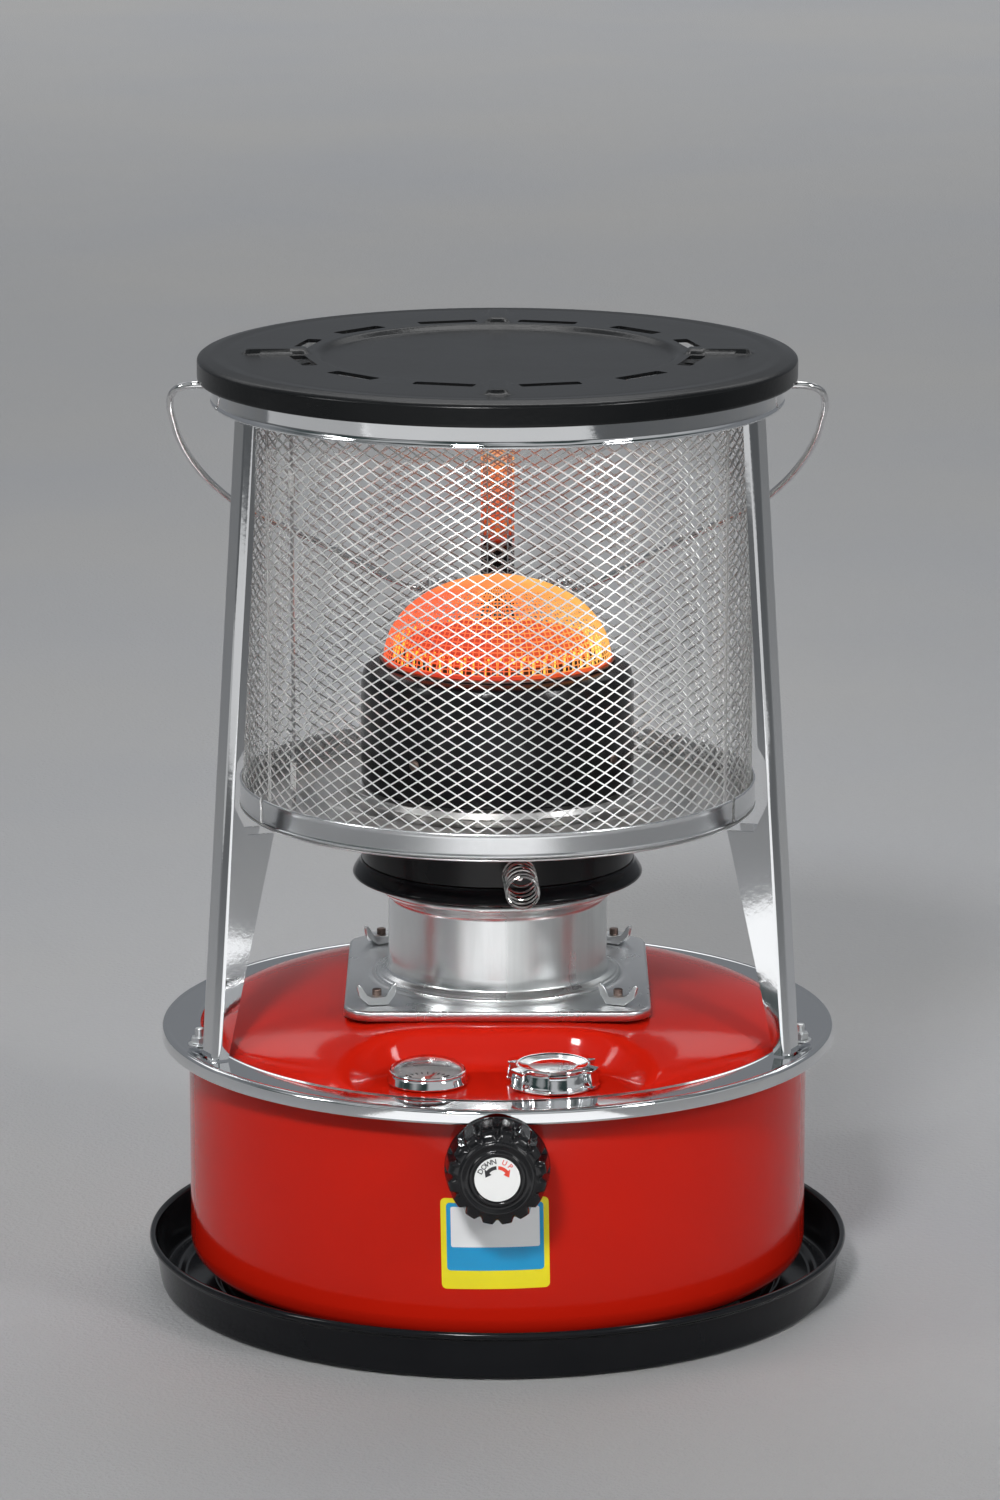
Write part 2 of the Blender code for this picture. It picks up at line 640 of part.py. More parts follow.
def fuel_gauge():
    base = RECESS_FLOOR + GAP
    top = base + GAUGE_HEIGHT
    seat = base + SHEET
    outline = [
        (GAUGE_HOLE_RADIUS - SHEET, base), (GAUGE_RADIUS - SHEET, base), (GAUGE_RADIUS, base + SHEET),
        (GAUGE_RADIUS, top - SHEET), (GAUGE_RADIUS - SHEET, top), (GAUGE_WINDOW_RADIUS + GAP, top),
        (GAUGE_WINDOW_RADIUS + GAP, seat), (GAUGE_HOLE_RADIUS - SHEET, seat),
    ]
    centre = (GAUGE_X, GAUGE_Y, 0)
    solid("gauge_bezel", turned_solid(outline, INSIDE_STEPS), (0.74, 0.75, 0.77), 0.12, 1.0, centre)
    dial_z = seat + GAP
    solid("gauge_dial", turned_solid(rod_outline(GAUGE_WINDOW_RADIUS, dial_z, dial_z + DIAL_SHEET), INSIDE_STEPS),
          (0.80, 0.79, 0.75), 0.5, 0.0, centre)
    edge = dial_z + DIAL_SHEET + GAP
    radius = GAUGE_WINDOW_RADIUS
    rise = top - edge + LENS_RISE
    outside = [(radius * math.cos(t), top + LENS_RISE * math.sin(t))
               for t in (math.radians(90.0) * k / 4 for k in range(4))]
    inner = radius - LENS_SHEET
    inside = [(inner * math.cos(t), edge + (rise - LENS_SHEET) * math.sin(t))
              for t in (math.radians(90.0) * k / 4 for k in range(3, -1, -1))]
    lens = [(radius, edge), *outside, (0, top + LENS_RISE), (0, edge + rise - LENS_SHEET), *inside]
    lens = lens[lens.index((0, edge + rise - LENS_SHEET)):] + lens[:lens.index((0, edge + rise - LENS_SHEET))]
    solid("gauge_lens", turned_solid(lens, INSIDE_STEPS), (0.86, 0.88, 0.88), 0.06, 0.0, centre)


def float_parts():
    stem_top = RECESS_FLOOR + GAP + SHEET
    pivot_z = stem_top - STEM_DROP
    stem_outline = rod_outline(STEM_RADIUS, pivot_z - HUB_RADIUS, stem_top)
    solid("gauge_stem", turned_solid(stem_outline, TINY_STEPS), (0.70, 0.62, 0.38), 0.35, 1.0,
          (GAUGE_X, GAUGE_Y, 0))
    hub_x = STEM_RADIUS + GAP
    hub = turned_solid(rod_outline(HUB_RADIUS, hub_x, hub_x + HUB_WIDTH), SMALL_STEPS)
    bmesh.ops.rotate(hub, cent=(0, 0, 0), matrix=Matrix.Rotation(math.radians(90.0), 3, "Y"), verts=hub.verts)
    pivot = (GAUGE_X, GAUGE_Y, pivot_z)
    tilt = (-FLOAT_REST_ANGLE, 0, 0)
    arm = solid("float_arm", hub, (0.70, 0.62, 0.38), 0.35, 1.0, pivot, tilt)
    rod = turned_solid(rod_outline(FLOAT_ARM_RADIUS, 0, FLOAT_ARM_LENGTH), TINY_STEPS)
    bmesh.ops.rotate(rod, cent=(0, 0, 0), matrix=Matrix.Rotation(math.radians(-90.0), 3, "X"), verts=rod.verts)
    bmesh.ops.translate(rod, vec=(hub_x + HUB_WIDTH / 2, 0, 0), verts=rod.verts)
    combine(arm, cutter("float_arm_rod", rod, pivot, tilt), "UNION")
    body = turned_solid(rod_outline(FLOAT_RADIUS, -FLOAT_HEIGHT / 2, FLOAT_HEIGHT / 2), SMALL_STEPS)
    reach = FLOAT_ARM_LENGTH + GAP + FLOAT_RADIUS
    bmesh.ops.translate(body, vec=(hub_x + HUB_WIDTH / 2, reach, 0), verts=body.verts)
    solid("gauge_float", body, (0.10, 0.09, 0.08), 0.7, 0.0, pivot, tilt)


def filler_neck():
    base = RECESS_FLOOR + GAP
    inner = NECK_RADIUS - NECK_WALL
    outline = [
        (inner, base), (NECK_FLANGE_RADIUS, base), (NECK_FLANGE_RADIUS, base + THIN_SHEET),
        (NECK_RADIUS, base + THIN_SHEET + GAP), (NECK_RADIUS, base + NECK_HEIGHT), (inner, base + NECK_HEIGHT),
    ]
    return solid("filler_neck", turned_solid(outline, INSIDE_STEPS), (0.70, 0.71, 0.73), 0.2, 1.0,
                 (FILLER_X, FILLER_Y, 0))


def filler_cap():
    base = RECESS_FLOOR + GAP + THIN_SHEET + GAP
    roof = RECESS_FLOOR + GAP + NECK_HEIGHT + GAP
    top = base + CAP_HEIGHT
    bore = NECK_RADIUS + CAP_CLEARANCE
    dish = max(top - CAP_DISH_DEPTH, roof + CAP_TOP_SHEET)
    rim = CAP_RADIUS - CAP_RIM_WIDTH
    per_lobe = 5
    groove = CAP_LOBE_DEPTH
    rings = [
        lobed_ring(bore, roof, 0, CAP_LOBES, per_lobe),
        lobed_ring(bore, base, 0, CAP_LOBES, per_lobe),
        lobed_ring(CAP_RADIUS - SHEET, base, groove, CAP_LOBES, per_lobe),
        lobed_ring(CAP_RADIUS, base + SHEET, groove, CAP_LOBES, per_lobe),
        lobed_ring(CAP_RADIUS, top - SHEET, groove, CAP_LOBES, per_lobe),
        lobed_ring(CAP_RADIUS - SHEET, top, groove * 0.7, CAP_LOBES, per_lobe),
        lobed_ring(rim, top, 0, CAP_LOBES, per_lobe),
        lobed_ring(rim - SHEET, dish, 0, CAP_LOBES, per_lobe),
    ]
    return solid("filler_cap", lofted(rings), (0.74, 0.75, 0.77), 0.12, 1.0, (FILLER_X, FILLER_Y, 0))


# Mounting plate, casing, wick


def mounting_plate():
    bottom = DOME_FLAT_Z + GAP
    inner = PLATE_HALF - SHEET
    inner_corner = PLATE_CORNER - SHEET
    rings = [
        rounded_square(inner, inner, inner_corner, PLATE_UNDERSIDE),
        rounded_square(inner, inner, inner_corner, bottom),
        rounded_square(PLATE_HALF, PLATE_HALF, PLATE_CORNER, bottom),
        rounded_square(PLATE_HALF, PLATE_HALF, PLATE_CORNER, PLATE_UNDERSIDE),
        rounded_square(inner, inner, inner_corner, PLATE_TOP),
    ]
    plate = solid("mounting_plate", lofted(rings), (0.66, 0.67, 0.68), 0.28, 1.0)
    outline = rod_outline(CASING_HOLE_RADIUS, PLATE_UNDERSIDE - OVERRUN, PLATE_TOP + OVERRUN)
    combine(plate, cutter("plate_hole", turned_solid(outline, TUBE_STEPS)), "DIFFERENCE")
    return plate


def plate_gasket():
    outline = ring_outline(GASKET_INNER_RADIUS, GASKET_OUTER_RADIUS, DOME_FLAT_Z + GAP, PLATE_UNDERSIDE - GAP)
    return solid("plate_gasket", turned_solid(outline, INSIDE_STEPS), (0.05, 0.045, 0.04), 0.8, 0.0)


def wing_nuts():
    low = PLATE_TOP + GAP
    hub_top = low + WING_HUB_HEIGHT
    hub_outline = [(0, low), (WING_HUB_RADIUS, low), (WING_HUB_RADIUS * 0.72, hub_top),
                   (WING_STUD_RADIUS, hub_top), (WING_STUD_RADIUS, hub_top + WING_STUD_RADIUS),
                   (0, hub_top + WING_STUD_RADIUS)]
    half = WING_THICKNESS / 2
    root = WING_STUD_RADIUS
    tip = WING_SPAN / 2
    crest = low + WING_RISE
    wing = [(root, low + SHEET), (root + WING_THICKNESS, hub_top), (tip - WING_THICKNESS * 1.6, crest),
            (tip - WING_THICKNESS * 0.4, crest), (tip, crest - WING_THICKNESS), (tip - WING_THICKNESS, low + SHEET * 3)]
    for k, (sign_x, sign_y) in enumerate(((-1, -1), (1, -1), (-1, 1), (1, 1))):
        spot = (sign_x * WING_NUT_DISTANCE / 2, sign_y * WING_NUT_DISTANCE / 2, 0)
        turn = (0, 0, math.radians((12, -18, 34, -30)[k]))
        nut = solid(f"wing_nut_{k + 1}", turned_solid(hub_outline, TINY_STEPS), (0.68, 0.69, 0.70), 0.25, 1.0,
                    spot, turn)
        for side in (1, -1):
            rings = [[(side * x, y, z) for x, z in wing] for y in (-half, half)]
            combine(nut, cutter(f"wing_{k + 1}_{'right' if side > 0 else 'left'}", lofted(rings), spot, turn), "UNION")


def wick_casing():
    inner = CASING_RADIUS - THIN_SHEET
    bead_low = PLATE_TOP + GAP
    bead_top = bead_low + CASING_BEAD_HEIGHT
    flare = CASING_TOP - COLLAR_HEIGHT
    outline = [
        (inner, CASING_BOTTOM), (CASING_RADIUS, CASING_BOTTOM), (CASING_RADIUS, bead_low),
        (CASING_BEAD_RADIUS, bead_low), (CASING_BEAD_RADIUS - SHEET, bead_top), (CASING_RADIUS + SHEET, bead_top),
        (CASING_RADIUS, bead_top + SHEET), (CASING_RADIUS, flare), (COLLAR_RADIUS, COLLAR_WIDEST_Z - THIN_SHEET / 2),
        (COLLAR_RADIUS, COLLAR_WIDEST_Z + THIN_SHEET / 2), (COLLAR_CROWN_RADIUS, CASING_TOP), (inner, CASING_TOP),
        (inner, CASING_TOP - THIN_SHEET), (COLLAR_CROWN_RADIUS - THIN_SHEET / 2, CASING_TOP - THIN_SHEET),
        (COLLAR_RADIUS - SHEET, COLLAR_WIDEST_Z), (inner, flare + THIN_SHEET),
    ]
    return solid("wick_casing", turned_solid(outline, TUBE_STEPS), (0.66, 0.67, 0.68), 0.26, 1.0)


def draft_tube():
    low = TANK_BOTTOM + SHEET + GAP
    inner = DRAFT_RADIUS - SHEET
    outline = [(inner, TANK_BOTTOM), (DRAFT_RADIUS, TANK_BOTTOM), (DRAFT_RADIUS, low), (DRAFT_FLANGE_RADIUS, low),
               (DRAFT_FLANGE_RADIUS, low + THIN_SHEET), (DRAFT_RADIUS, low + THIN_SHEET), (DRAFT_RADIUS, DRAFT_TOP),
               (inner, DRAFT_TOP)]
    return solid("draft_tube", turned_solid(outline, INSIDE_STEPS), (0.60, 0.60, 0.60), 0.35, 1.0)


def wick_parts():
    outline = ring_outline(WICK_INNER_RADIUS, WICK_OUTER_RADIUS, WICK_BOTTOM, WICK_TOP)
    solid("wick", turned_solid(outline, INSIDE_STEPS), (0.75, 0.70, 0.60), 0.95, 0.0)
    carrier_low = SHAFT_Z - CARRIER_WIDTH / 2
    band_inner = WICK_OUTER_RADIUS + GAP
    band_outer = band_inner + SHEET
    outline = ring_outline(band_inner, band_outer, carrier_low, carrier_low + CARRIER_WIDTH)
    carrier = solid("wick_carrier", turned_solid(outline, INSIDE_STEPS), (0.55, 0.55, 0.55), 0.4, 1.0)
    rack_x = -(PINION_RADIUS + GAP)
    rack_back = -(band_inner - SHEET / 2)
    rack_low = (rack_x - RACK_WIDTH, -(band_outer + RACK_DEPTH), carrier_low)
    rack_high = (rack_x, rack_back, carrier_low + RACK_HEIGHT)
    rack = cutter("rack", box(rack_low, rack_high))
    bore = cutter("rack_bore", turned_solid(rod_outline(band_inner, 0, PLATE_TOP), INSIDE_STEPS))
    combine(rack, bore, "DIFFERENCE")
    combine(carrier, rack, "UNION")


def wick_drive():
    front = (math.radians(90.0), 0, 0)
    axis = (0, 0, SHAFT_Z)
    band_outer = WICK_OUTER_RADIUS + GAP + SHEET
    pinion_near = band_outer + GAP
    knob_back = -KNOB_FRONT_Y - KNOB_DEPTH
    outline = rod_outline(PINION_RADIUS, pinion_near, pinion_near + PINION_WIDTH)
    solid("pinion", turned_solid(outline, TINY_STEPS), (0.70, 0.62, 0.38), 0.35, 1.0, axis, front)
    tip = knob_back + KNOB_DEPTH * KNOB_BORE_SHARE - GAP
    outline = rod_outline(SHAFT_RADIUS, pinion_near + PINION_WIDTH + GAP, tip)
    solid("wick_shaft", turned_solid(outline, SMALL_STEPS), (0.62, 0.62, 0.62), 0.3, 1.0, axis, front)
    gland_low = -BOSS_FACE_Y + GAP
    outline = ring_outline(SHAFT_RADIUS + SHAFT_CLEARANCE, GLAND_RADIUS, gland_low, gland_low + GLAND_LENGTH)
    solid("shaft_gland", turned_solid(outline, SMALL_STEPS), (0.66, 0.67, 0.68), 0.25, 1.0, axis, front)


def knob():
    front = (math.radians(90.0), 0, 0)
    axis = (0, 0, SHAFT_Z)
    back = -KNOB_FRONT_Y - KNOB_DEPTH
    face = -KNOB_FRONT_Y
    edge = face - KNOB_FACE_RISE
    bore = SHAFT_RADIUS + SHAFT_CLEARANCE / 2
    skirt = KNOB_RADIUS * KNOB_SKIRT_SHARE
    shoulder = KNOB_RADIUS * KNOB_SHOULDER_SHARE
    disc_seat = KNOB_DISC_RADIUS + GAP
    per_flute = 2
    rings = [
        lobed_ring(bore, back + KNOB_DEPTH * KNOB_BORE_SHARE, 0, KNOB_FLUTES, per_flute),
        lobed_ring(bore, back, 0, KNOB_FLUTES, per_flute),
        lobed_ring(skirt, back, 0, KNOB_FLUTES, per_flute),
        lobed_ring(KNOB_RADIUS, back + KNOB_RADIUS - skirt, KNOB_FLUTE_DEPTH, KNOB_FLUTES, per_flute),
        lobed_ring(KNOB_RADIUS, edge - KNOB_FLUTE_DEPTH, KNOB_FLUTE_DEPTH, KNOB_FLUTES, per_flute),
        lobed_ring(shoulder, edge, 0, KNOB_FLUTES, per_flute),
        lobed_ring(KNOB_FACE_RADIUS, face, 0, KNOB_FLUTES, per_flute),
        lobed_ring(disc_seat, face, 0, KNOB_FLUTES, per_flute),
        lobed_ring(disc_seat, face - KNOB_DISC_RECESS, 0, KNOB_FLUTES, per_flute),
    ]
    solid("knob", lofted(rings), (0.012, 0.012, 0.013), 0.2, 0.0, axis, front)
    low = face - KNOB_DISC_RECESS + GAP
    outline = rod_outline(KNOB_DISC_RADIUS, low, low + KNOB_DISC_RECESS - GAP)
    solid("knob_disc", turned_solid(outline, INSIDE_STEPS), (0.85, 0.85, 0.84), 0.35, 0.0, axis, front)


# Burner


def burner_dish():
    low = DISH_BOTTOM
    upper_z = DISH_WIDEST_Z + (DISH_TOP - DISH_WIDEST_Z) * DISH_SHOULDER_SHARE
    upper_radius = DISH_RADIUS - (DISH_RADIUS - DRUM_RADIUS) * DISH_SHOULDER_DRAW_SHARE
    wall = SHEET + GAP
    outline = [
        (DISH_HOLE_RADIUS, low), (DISH_SEAT_RADIUS, low), (DISH_RADIUS - THIN_SHEET, DISH_WIDEST_Z - THIN_SHEET),
        (DISH_RADIUS, DISH_WIDEST_Z), (upper_radius, upper_z), (DRUM_RADIUS, DISH_TOP), (DRUM_RADIUS - wall, DISH_TOP),
        (upper_radius - wall, upper_z - SHEET / 2), (DISH_RADIUS - SHEET * 2, DISH_WIDEST_Z + THIN_SHEET),
        (DISH_SEAT_RADIUS - SHEET / 4, low + SHEET), (DISH_HOLE_RADIUS, low + SHEET),
    ]
    return solid("burner_dish", turned_solid(outline, TUBE_STEPS), (0.012, 0.012, 0.014), 0.14, 0.0)


def burner_drum():
    inner = DRUM_RADIUS - THIN_SHEET
    shoulder_z = DRUM_TOP - DRUM_SHOULDER_HEIGHT
    bend_radius = DRUM_RADIUS - (DRUM_RADIUS - DRUM_SHOULDER_RADIUS) * 0.28
    bend_z = DRUM_TOP - DRUM_SHOULDER_HEIGHT * 0.36
    under = DRUM_TOP - THIN_SHEET
    outline = [
        (inner, DRUM_BOTTOM), (DRUM_RADIUS, DRUM_BOTTOM), (DRUM_RADIUS, shoulder_z), (bend_radius, bend_z),
        (DRUM_SHOULDER_RADIUS, DRUM_TOP), (DRUM_MOUTH_RADIUS, DRUM_TOP), (DRUM_MOUTH_RADIUS, under),
        (DRUM_SHOULDER_RADIUS - THIN_SHEET / 2, under), (bend_radius - THIN_SHEET, bend_z - THIN_SHEET / 2),
        (inner, shoulder_z),
    ]
    return solid("burner_drum", turned_solid(outline, TUBE_STEPS), (0.016, 0.016, 0.017), 0.3, 0.0)


def flame_tubes():
    rim_low = DRUM_TOP + GAP
    inner = OUTER_TUBE_RADIUS - THIN_SHEET
    rim = OUTER_TUBE_RADIUS + OUTER_TUBE_RIM
    outline = [(inner, OUTER_TUBE_BOTTOM), (OUTER_TUBE_RADIUS, OUTER_TUBE_BOTTOM), (OUTER_TUBE_RADIUS, rim_low),
               (rim, rim_low), (rim, OUTER_TUBE_TOP), (inner, OUTER_TUBE_TOP)]
    solid("flame_tube_outer", turned_solid(outline, INSIDE_STEPS), (0.30, 0.17, 0.12), 0.45, 1.0)
    inner = INNER_TUBE_RADIUS - THIN_SHEET
    low = INNER_TUBE_BOTTOM
    outline = [(inner, low), (DRAFT_RADIUS, low), (DRAFT_RADIUS, low + THIN_SHEET),
               (INNER_TUBE_RADIUS, low + THIN_SHEET + GAP), (INNER_TUBE_RADIUS, INNER_TUBE_TOP),
               (inner, INNER_TUBE_TOP)]
    solid("flame_tube_inner", turned_solid(outline, INSIDE_STEPS), (0.30, 0.17, 0.12), 0.45, 1.0)
    under = SPREADER_TOP - THIN_SHEET
    skirt = SPREADER_TOP - SPREADER_SKIRT
    outline = [(0, under), (SPREADER_RADIUS - THIN_SHEET, under), (SPREADER_RADIUS - THIN_SHEET, skirt),
               (SPREADER_RADIUS, skirt), (SPREADER_RADIUS, SPREADER_TOP), (0, SPREADER_TOP)]
    solid("flame_spreader", turned_solid(outline, TUBE_STEPS), (0.45, 0.08, 0.03), 0.5, 1.0)


def glow_dome():
    rise = GLOW_DOME_TOP - GLOW_DOME_BASE
    turns = [math.radians(90.0) * k / 5 for k in range(5)]
    inner = GLOW_DOME_RADIUS - THIN_SHEET
    inner_rise = rise - THIN_SHEET
    outside = [(GLOW_DOME_RADIUS * math.cos(t), GLOW_DOME_BASE + rise * math.sin(t)) for t in turns]
    inside = [(inner * math.cos(t), GLOW_DOME_BASE + inner_rise * math.sin(t)) for t in reversed(turns)]
    outline = [(0, GLOW_DOME_BASE + inner_rise), *inside, *outside, (0, GLOW_DOME_TOP)]
    return solid("glow_dome", turned_solid(outline, TUBE_STEPS), (0.85, 0.20, 0.06), 0.5, 0.0)


def burner_lever():
    seat = math.sqrt(DRUM_RADIUS ** 2 - (LEVER_X - LEVER_ROD_RADIUS) ** 2)
    start = (LEVER_X, -seat, LEVER_Z)
    lean = (math.radians(90.0), 0, -LEVER_TILT)
    outline = rod_outline(LEVER_ROD_RADIUS, GAP, GAP + LEVER_ROD_LENGTH)
    solid("burner_lever", turned_solid(outline, TINY_STEPS), (0.60, 0.60, 0.60), 0.3, 1.0, start, lean)
    points = winding(GRIP_RADIUS, GRIP_WIRE_RADIUS, LEVER_ROD_RADIUS, GRIP_LENGTH, GRIP_TURNS, CURL_POINTS, ("start",))
    points = [point + Vector((0, 0, GRIP_START)) for point in points]
    print_least_gap("lever_grip", points, GRIP_WIRE_RADIUS, CURL_POINTS)
    wire("lever_grip", points, GRIP_WIRE_RADIUS, 1, (0.72, 0.73, 0.74), 0.15, 1.0, start, lean)


# Guard


def lattice(radius, start, end, low, high, columns, rows, relief):
    # Diamond cells between corner points whose column and row add up to an even number
    bm = bmesh.new()
    corners = {}

    def corner(column, row):
        if (column, row) not in corners:
            turn = start + (end - start) * column / columns
            corners[(column, row)] = bm.verts.new(on_guard(radius, turn, low + (high - low) * row / rows))
        return corners[(column, row)]

    cells = []
    for column in range(columns + 1):
        for row in range(rows + 1):
            if (column + row) % 2 == 0 or (column, row) in relief:
                continue
            right = (min(column + 1, columns), row)
            up = (column, min(row + 1, rows))
            left = (max(column - 1, 0), row)
            down = (column, max(row - 1, 0))
            cells.append(bm.faces.new([corner(*spot) for spot in (right, up, left, down)]))
    bm.normal_update()
    bmesh.ops.inset_individual(bm, faces=cells, thickness=STRAND_WIDTH / 2, use_even_offset=True)
    bmesh.ops.delete(bm, geom=cells, context="FACES")
    return bm


def guard_mesh(name, start, end, columns, relief=()):
    bm = lattice(GUARD_RADIUS, start, end, GUARD_BOTTOM, GUARD_TOP, columns, MESH_ROWS, relief)
    made = solid(name, bm, (0.66, 0.66, 0.65), 0.25, 1.0)
    step = made.modifiers.new("thickness", "SOLIDIFY")
    step.thickness = STRAND_SHEET
    step.offset = -1.0
    return made


def guard_band(name, start, end, steps):
    # A strip bent round the foot of the mesh
    rings = []
    for k in range(steps + 1):
        turn = start + (end - start) * k / steps
        rings.append([on_guard(r, turn, z) for r, z in
                      ring_outline(BAND_INNER_RADIUS, BAND_RADIUS, GUARD_BOTTOM, BAND_TOP)])
    return solid(name, lofted(rings), (0.74, 0.75, 0.77), 0.12, 1.0)


def guard_floor():
    outline = [
        (FLOOR_HOLE_RADIUS, FLOOR_RAISED_Z - THIN_SHEET), (FLOOR_STEP_RADIUS - THIN_SHEET, FLOOR_RAISED_Z - THIN_SHEET),
        (FLOOR_STEP_RADIUS, FLOOR_STEP_Z - THIN_SHEET), (FLOOR_SLOPE_INNER_RADIUS, FLOOR_STEP_Z - THIN_SHEET),
        (FLOOR_SLOPE_OUTER_RADIUS, FLOOR_Z), (FLOOR_RADIUS, FLOOR_Z), (FLOOR_RADIUS, FLOOR_TOP),
        (FLOOR_SLOPE_OUTER_RADIUS, FLOOR_TOP), (FLOOR_SLOPE_INNER_RADIUS, FLOOR_STEP_Z),
        (FLOOR_STEP_RADIUS + THIN_SHEET, FLOOR_STEP_Z), (FLOOR_STEP_RADIUS, FLOOR_RAISED_Z),
        (FLOOR_HOLE_RADIUS, FLOOR_RAISED_Z),
    ]
    return solid("guard_floor", turned_solid(outline), (0.66, 0.66, 0.66), 0.2, 1.0)


def door_hinge():
    spot = on_guard(HINGE_RADIUS, -HINGE_ANGLE, 0)
    rod = rod_outline(HINGE_ROD_RADIUS, GUARD_BOTTOM, GUARD_TOP)
    solid("hinge_rod", turned_solid(rod, TINY_STEPS), (0.62, 0.62, 0.62), 0.3, 1.0, spot)
    lows = (GUARD_BOTTOM + KNUCKLE_INSET, GUARD_TOP - KNUCKLE_INSET - KNUCKLE_LENGTH)
    for name, low in zip(("door_knuckle_lower", "door_knuckle_upper"), lows):
        outline = ring_outline(HINGE_ROD_RADIUS + GAP, KNUCKLE_RADIUS, low, low + KNUCKLE_LENGTH)
        solid(name, turned_solid(outline, TINY_STEPS), (0.66, 0.66, 0.65), 0.25, 1.0, spot)


# Top


def top_ring():
    low = TOP_RING_Z
    inner = TOP_RING_RADIUS - THIN_SHEET
    bead = TOP_RING_RADIUS + TOP_RING_BEAD
    flange_top = low + THIN_SHEET
    outline = [
        (TOP_RING_INNER_RADIUS, low), (TOP_RING_RADIUS, low), (bead, low + TOP_RING_BEAD),
        (TOP_RING_RADIUS, low + TOP_RING_BEAD * 2), (TOP_RING_RADIUS, TOP_RING_WALL_TOP), (inner, TOP_RING_WALL_TOP),
        (inner, flange_top), (TOP_RING_INNER_RADIUS, flange_top),
    ]
    ring = solid("top_ring", turned_solid(outline), (0.74, 0.75, 0.77), 0.12, 1.0)
    reach = TOP_RING_RADIUS + OVERRUN
    holes = cutter("bail_holes", turned_solid(rod_outline(BAIL_WIRE_RADIUS + BAIL_HOLE_CLEARANCE, -reach, reach),
                                              SMALL_STEPS), (0, 0, BAIL_Z), (0, math.radians(90.0), 0))
    combine(ring, holes, "DIFFERENCE")
    return ring


def plate_profile():
    skirt_inner = PLATE_RADIUS - PLATE_SHEET
    shoulder = PLATE_SHOULDER
    under_flat = PLATE_FLAT_Z - PLATE_SHEET
    under_disc = PLATE_DISC_Z - PLATE_SHEET
    slope_out = PLATE_DISC_RADIUS + PLATE_DISC_SLOPE
    return [
        (0, under_disc), (PLATE_DISC_RADIUS, under_disc), (slope_out, under_flat),
        (skirt_inner - shoulder * 0.7, under_flat), (skirt_inner, under_flat - shoulder * 0.5),
        (skirt_inner, PLATE_SKIRT_Z), (PLATE_RADIUS, PLATE_SKIRT_Z), (PLATE_RADIUS, PLATE_FLAT_Z - shoulder),
        (PLATE_RADIUS - shoulder * 0.3, PLATE_FLAT_Z - shoulder * 0.3), (PLATE_RADIUS - shoulder, PLATE_FLAT_Z),
        (slope_out, PLATE_FLAT_Z), (PLATE_DISC_RADIUS, PLATE_DISC_Z), (0, PLATE_DISC_Z),
    ]


def top_plate():
    plate = solid("top_plate", turned_solid(plate_profile()), (0.018, 0.020, 0.022), 0.34, 0.0)
    for k in range(RIB_COUNT):
        turn = math.tau * k / RIB_COUNT
        rib = bmesh.new()
        bmesh.ops.create_uvsphere(rib, u_segments=8, v_segments=6, radius=1)
        height = RIB_TOP - PLATE_FLAT_Z + PLATE_SHEET / 2
        bmesh.ops.scale(rib, vec=(RIB_WIDTH / 2, RIB_LENGTH / 2, height), verts=rib.verts)
        lower = [vert for vert in rib.verts if vert.co.z < -GAP]
        for vert in lower:
            vert.co.z = vert.co.z * PLATE_SHEET / height * 0.3
        spot = on_guard(RIB_RADIUS, turn, PLATE_FLAT_Z - PLATE_SHEET / 2)
        combine(plate, cutter(f"rib_{k + 1}", rib, spot, (0, 0, turn)), "UNION")
    for k in range(SLOT_COUNT):
        turn = math.tau * (k + 0.5) / SLOT_COUNT
        half = (SLOT_LENGTH / 2, SLOT_WIDTH / 2, PLATE_SHEET + OVERRUN)
        slot = box([-value for value in half], half)
        combine(plate, cutter(f"slot_{k + 1}", slot, on_guard(SLOT_RADIUS, turn, PLATE_FLAT_Z), (0, 0, turn)),
                "DIFFERENCE")
    return plate


# Legs


def leg_radius(height):
    return LEG_FOOT_RADIUS - LEG_LEAN * (height - LEG_BOTTOM) / (LEG_TOP - LEG_BOTTOM)


def leg_section(height, depth):
    # A channel, open inwards, drawn at its leg's radius: x runs along the width and y inwards
    half = LEG_WIDTH / 2
    face = -leg_radius(height)
    side = half - SHEET
    bend = LEG_CHAMFER - SHEET * 0.4
    return [
        (-half, face + depth, height), (-half, face + LEG_CHAMFER, height), (-half + LEG_CHAMFER, face, height),
        (half - LEG_CHAMFER, face, height), (half, face + LEG_CHAMFER, height), (half, face + depth, height),
        (side, face + depth, height), (side, face + SHEET + bend, height), (side - bend, face + SHEET, height),
        (-side + bend, face + SHEET, height), (-side, face + SHEET + bend, height), (-side, face + depth, height),
    ]


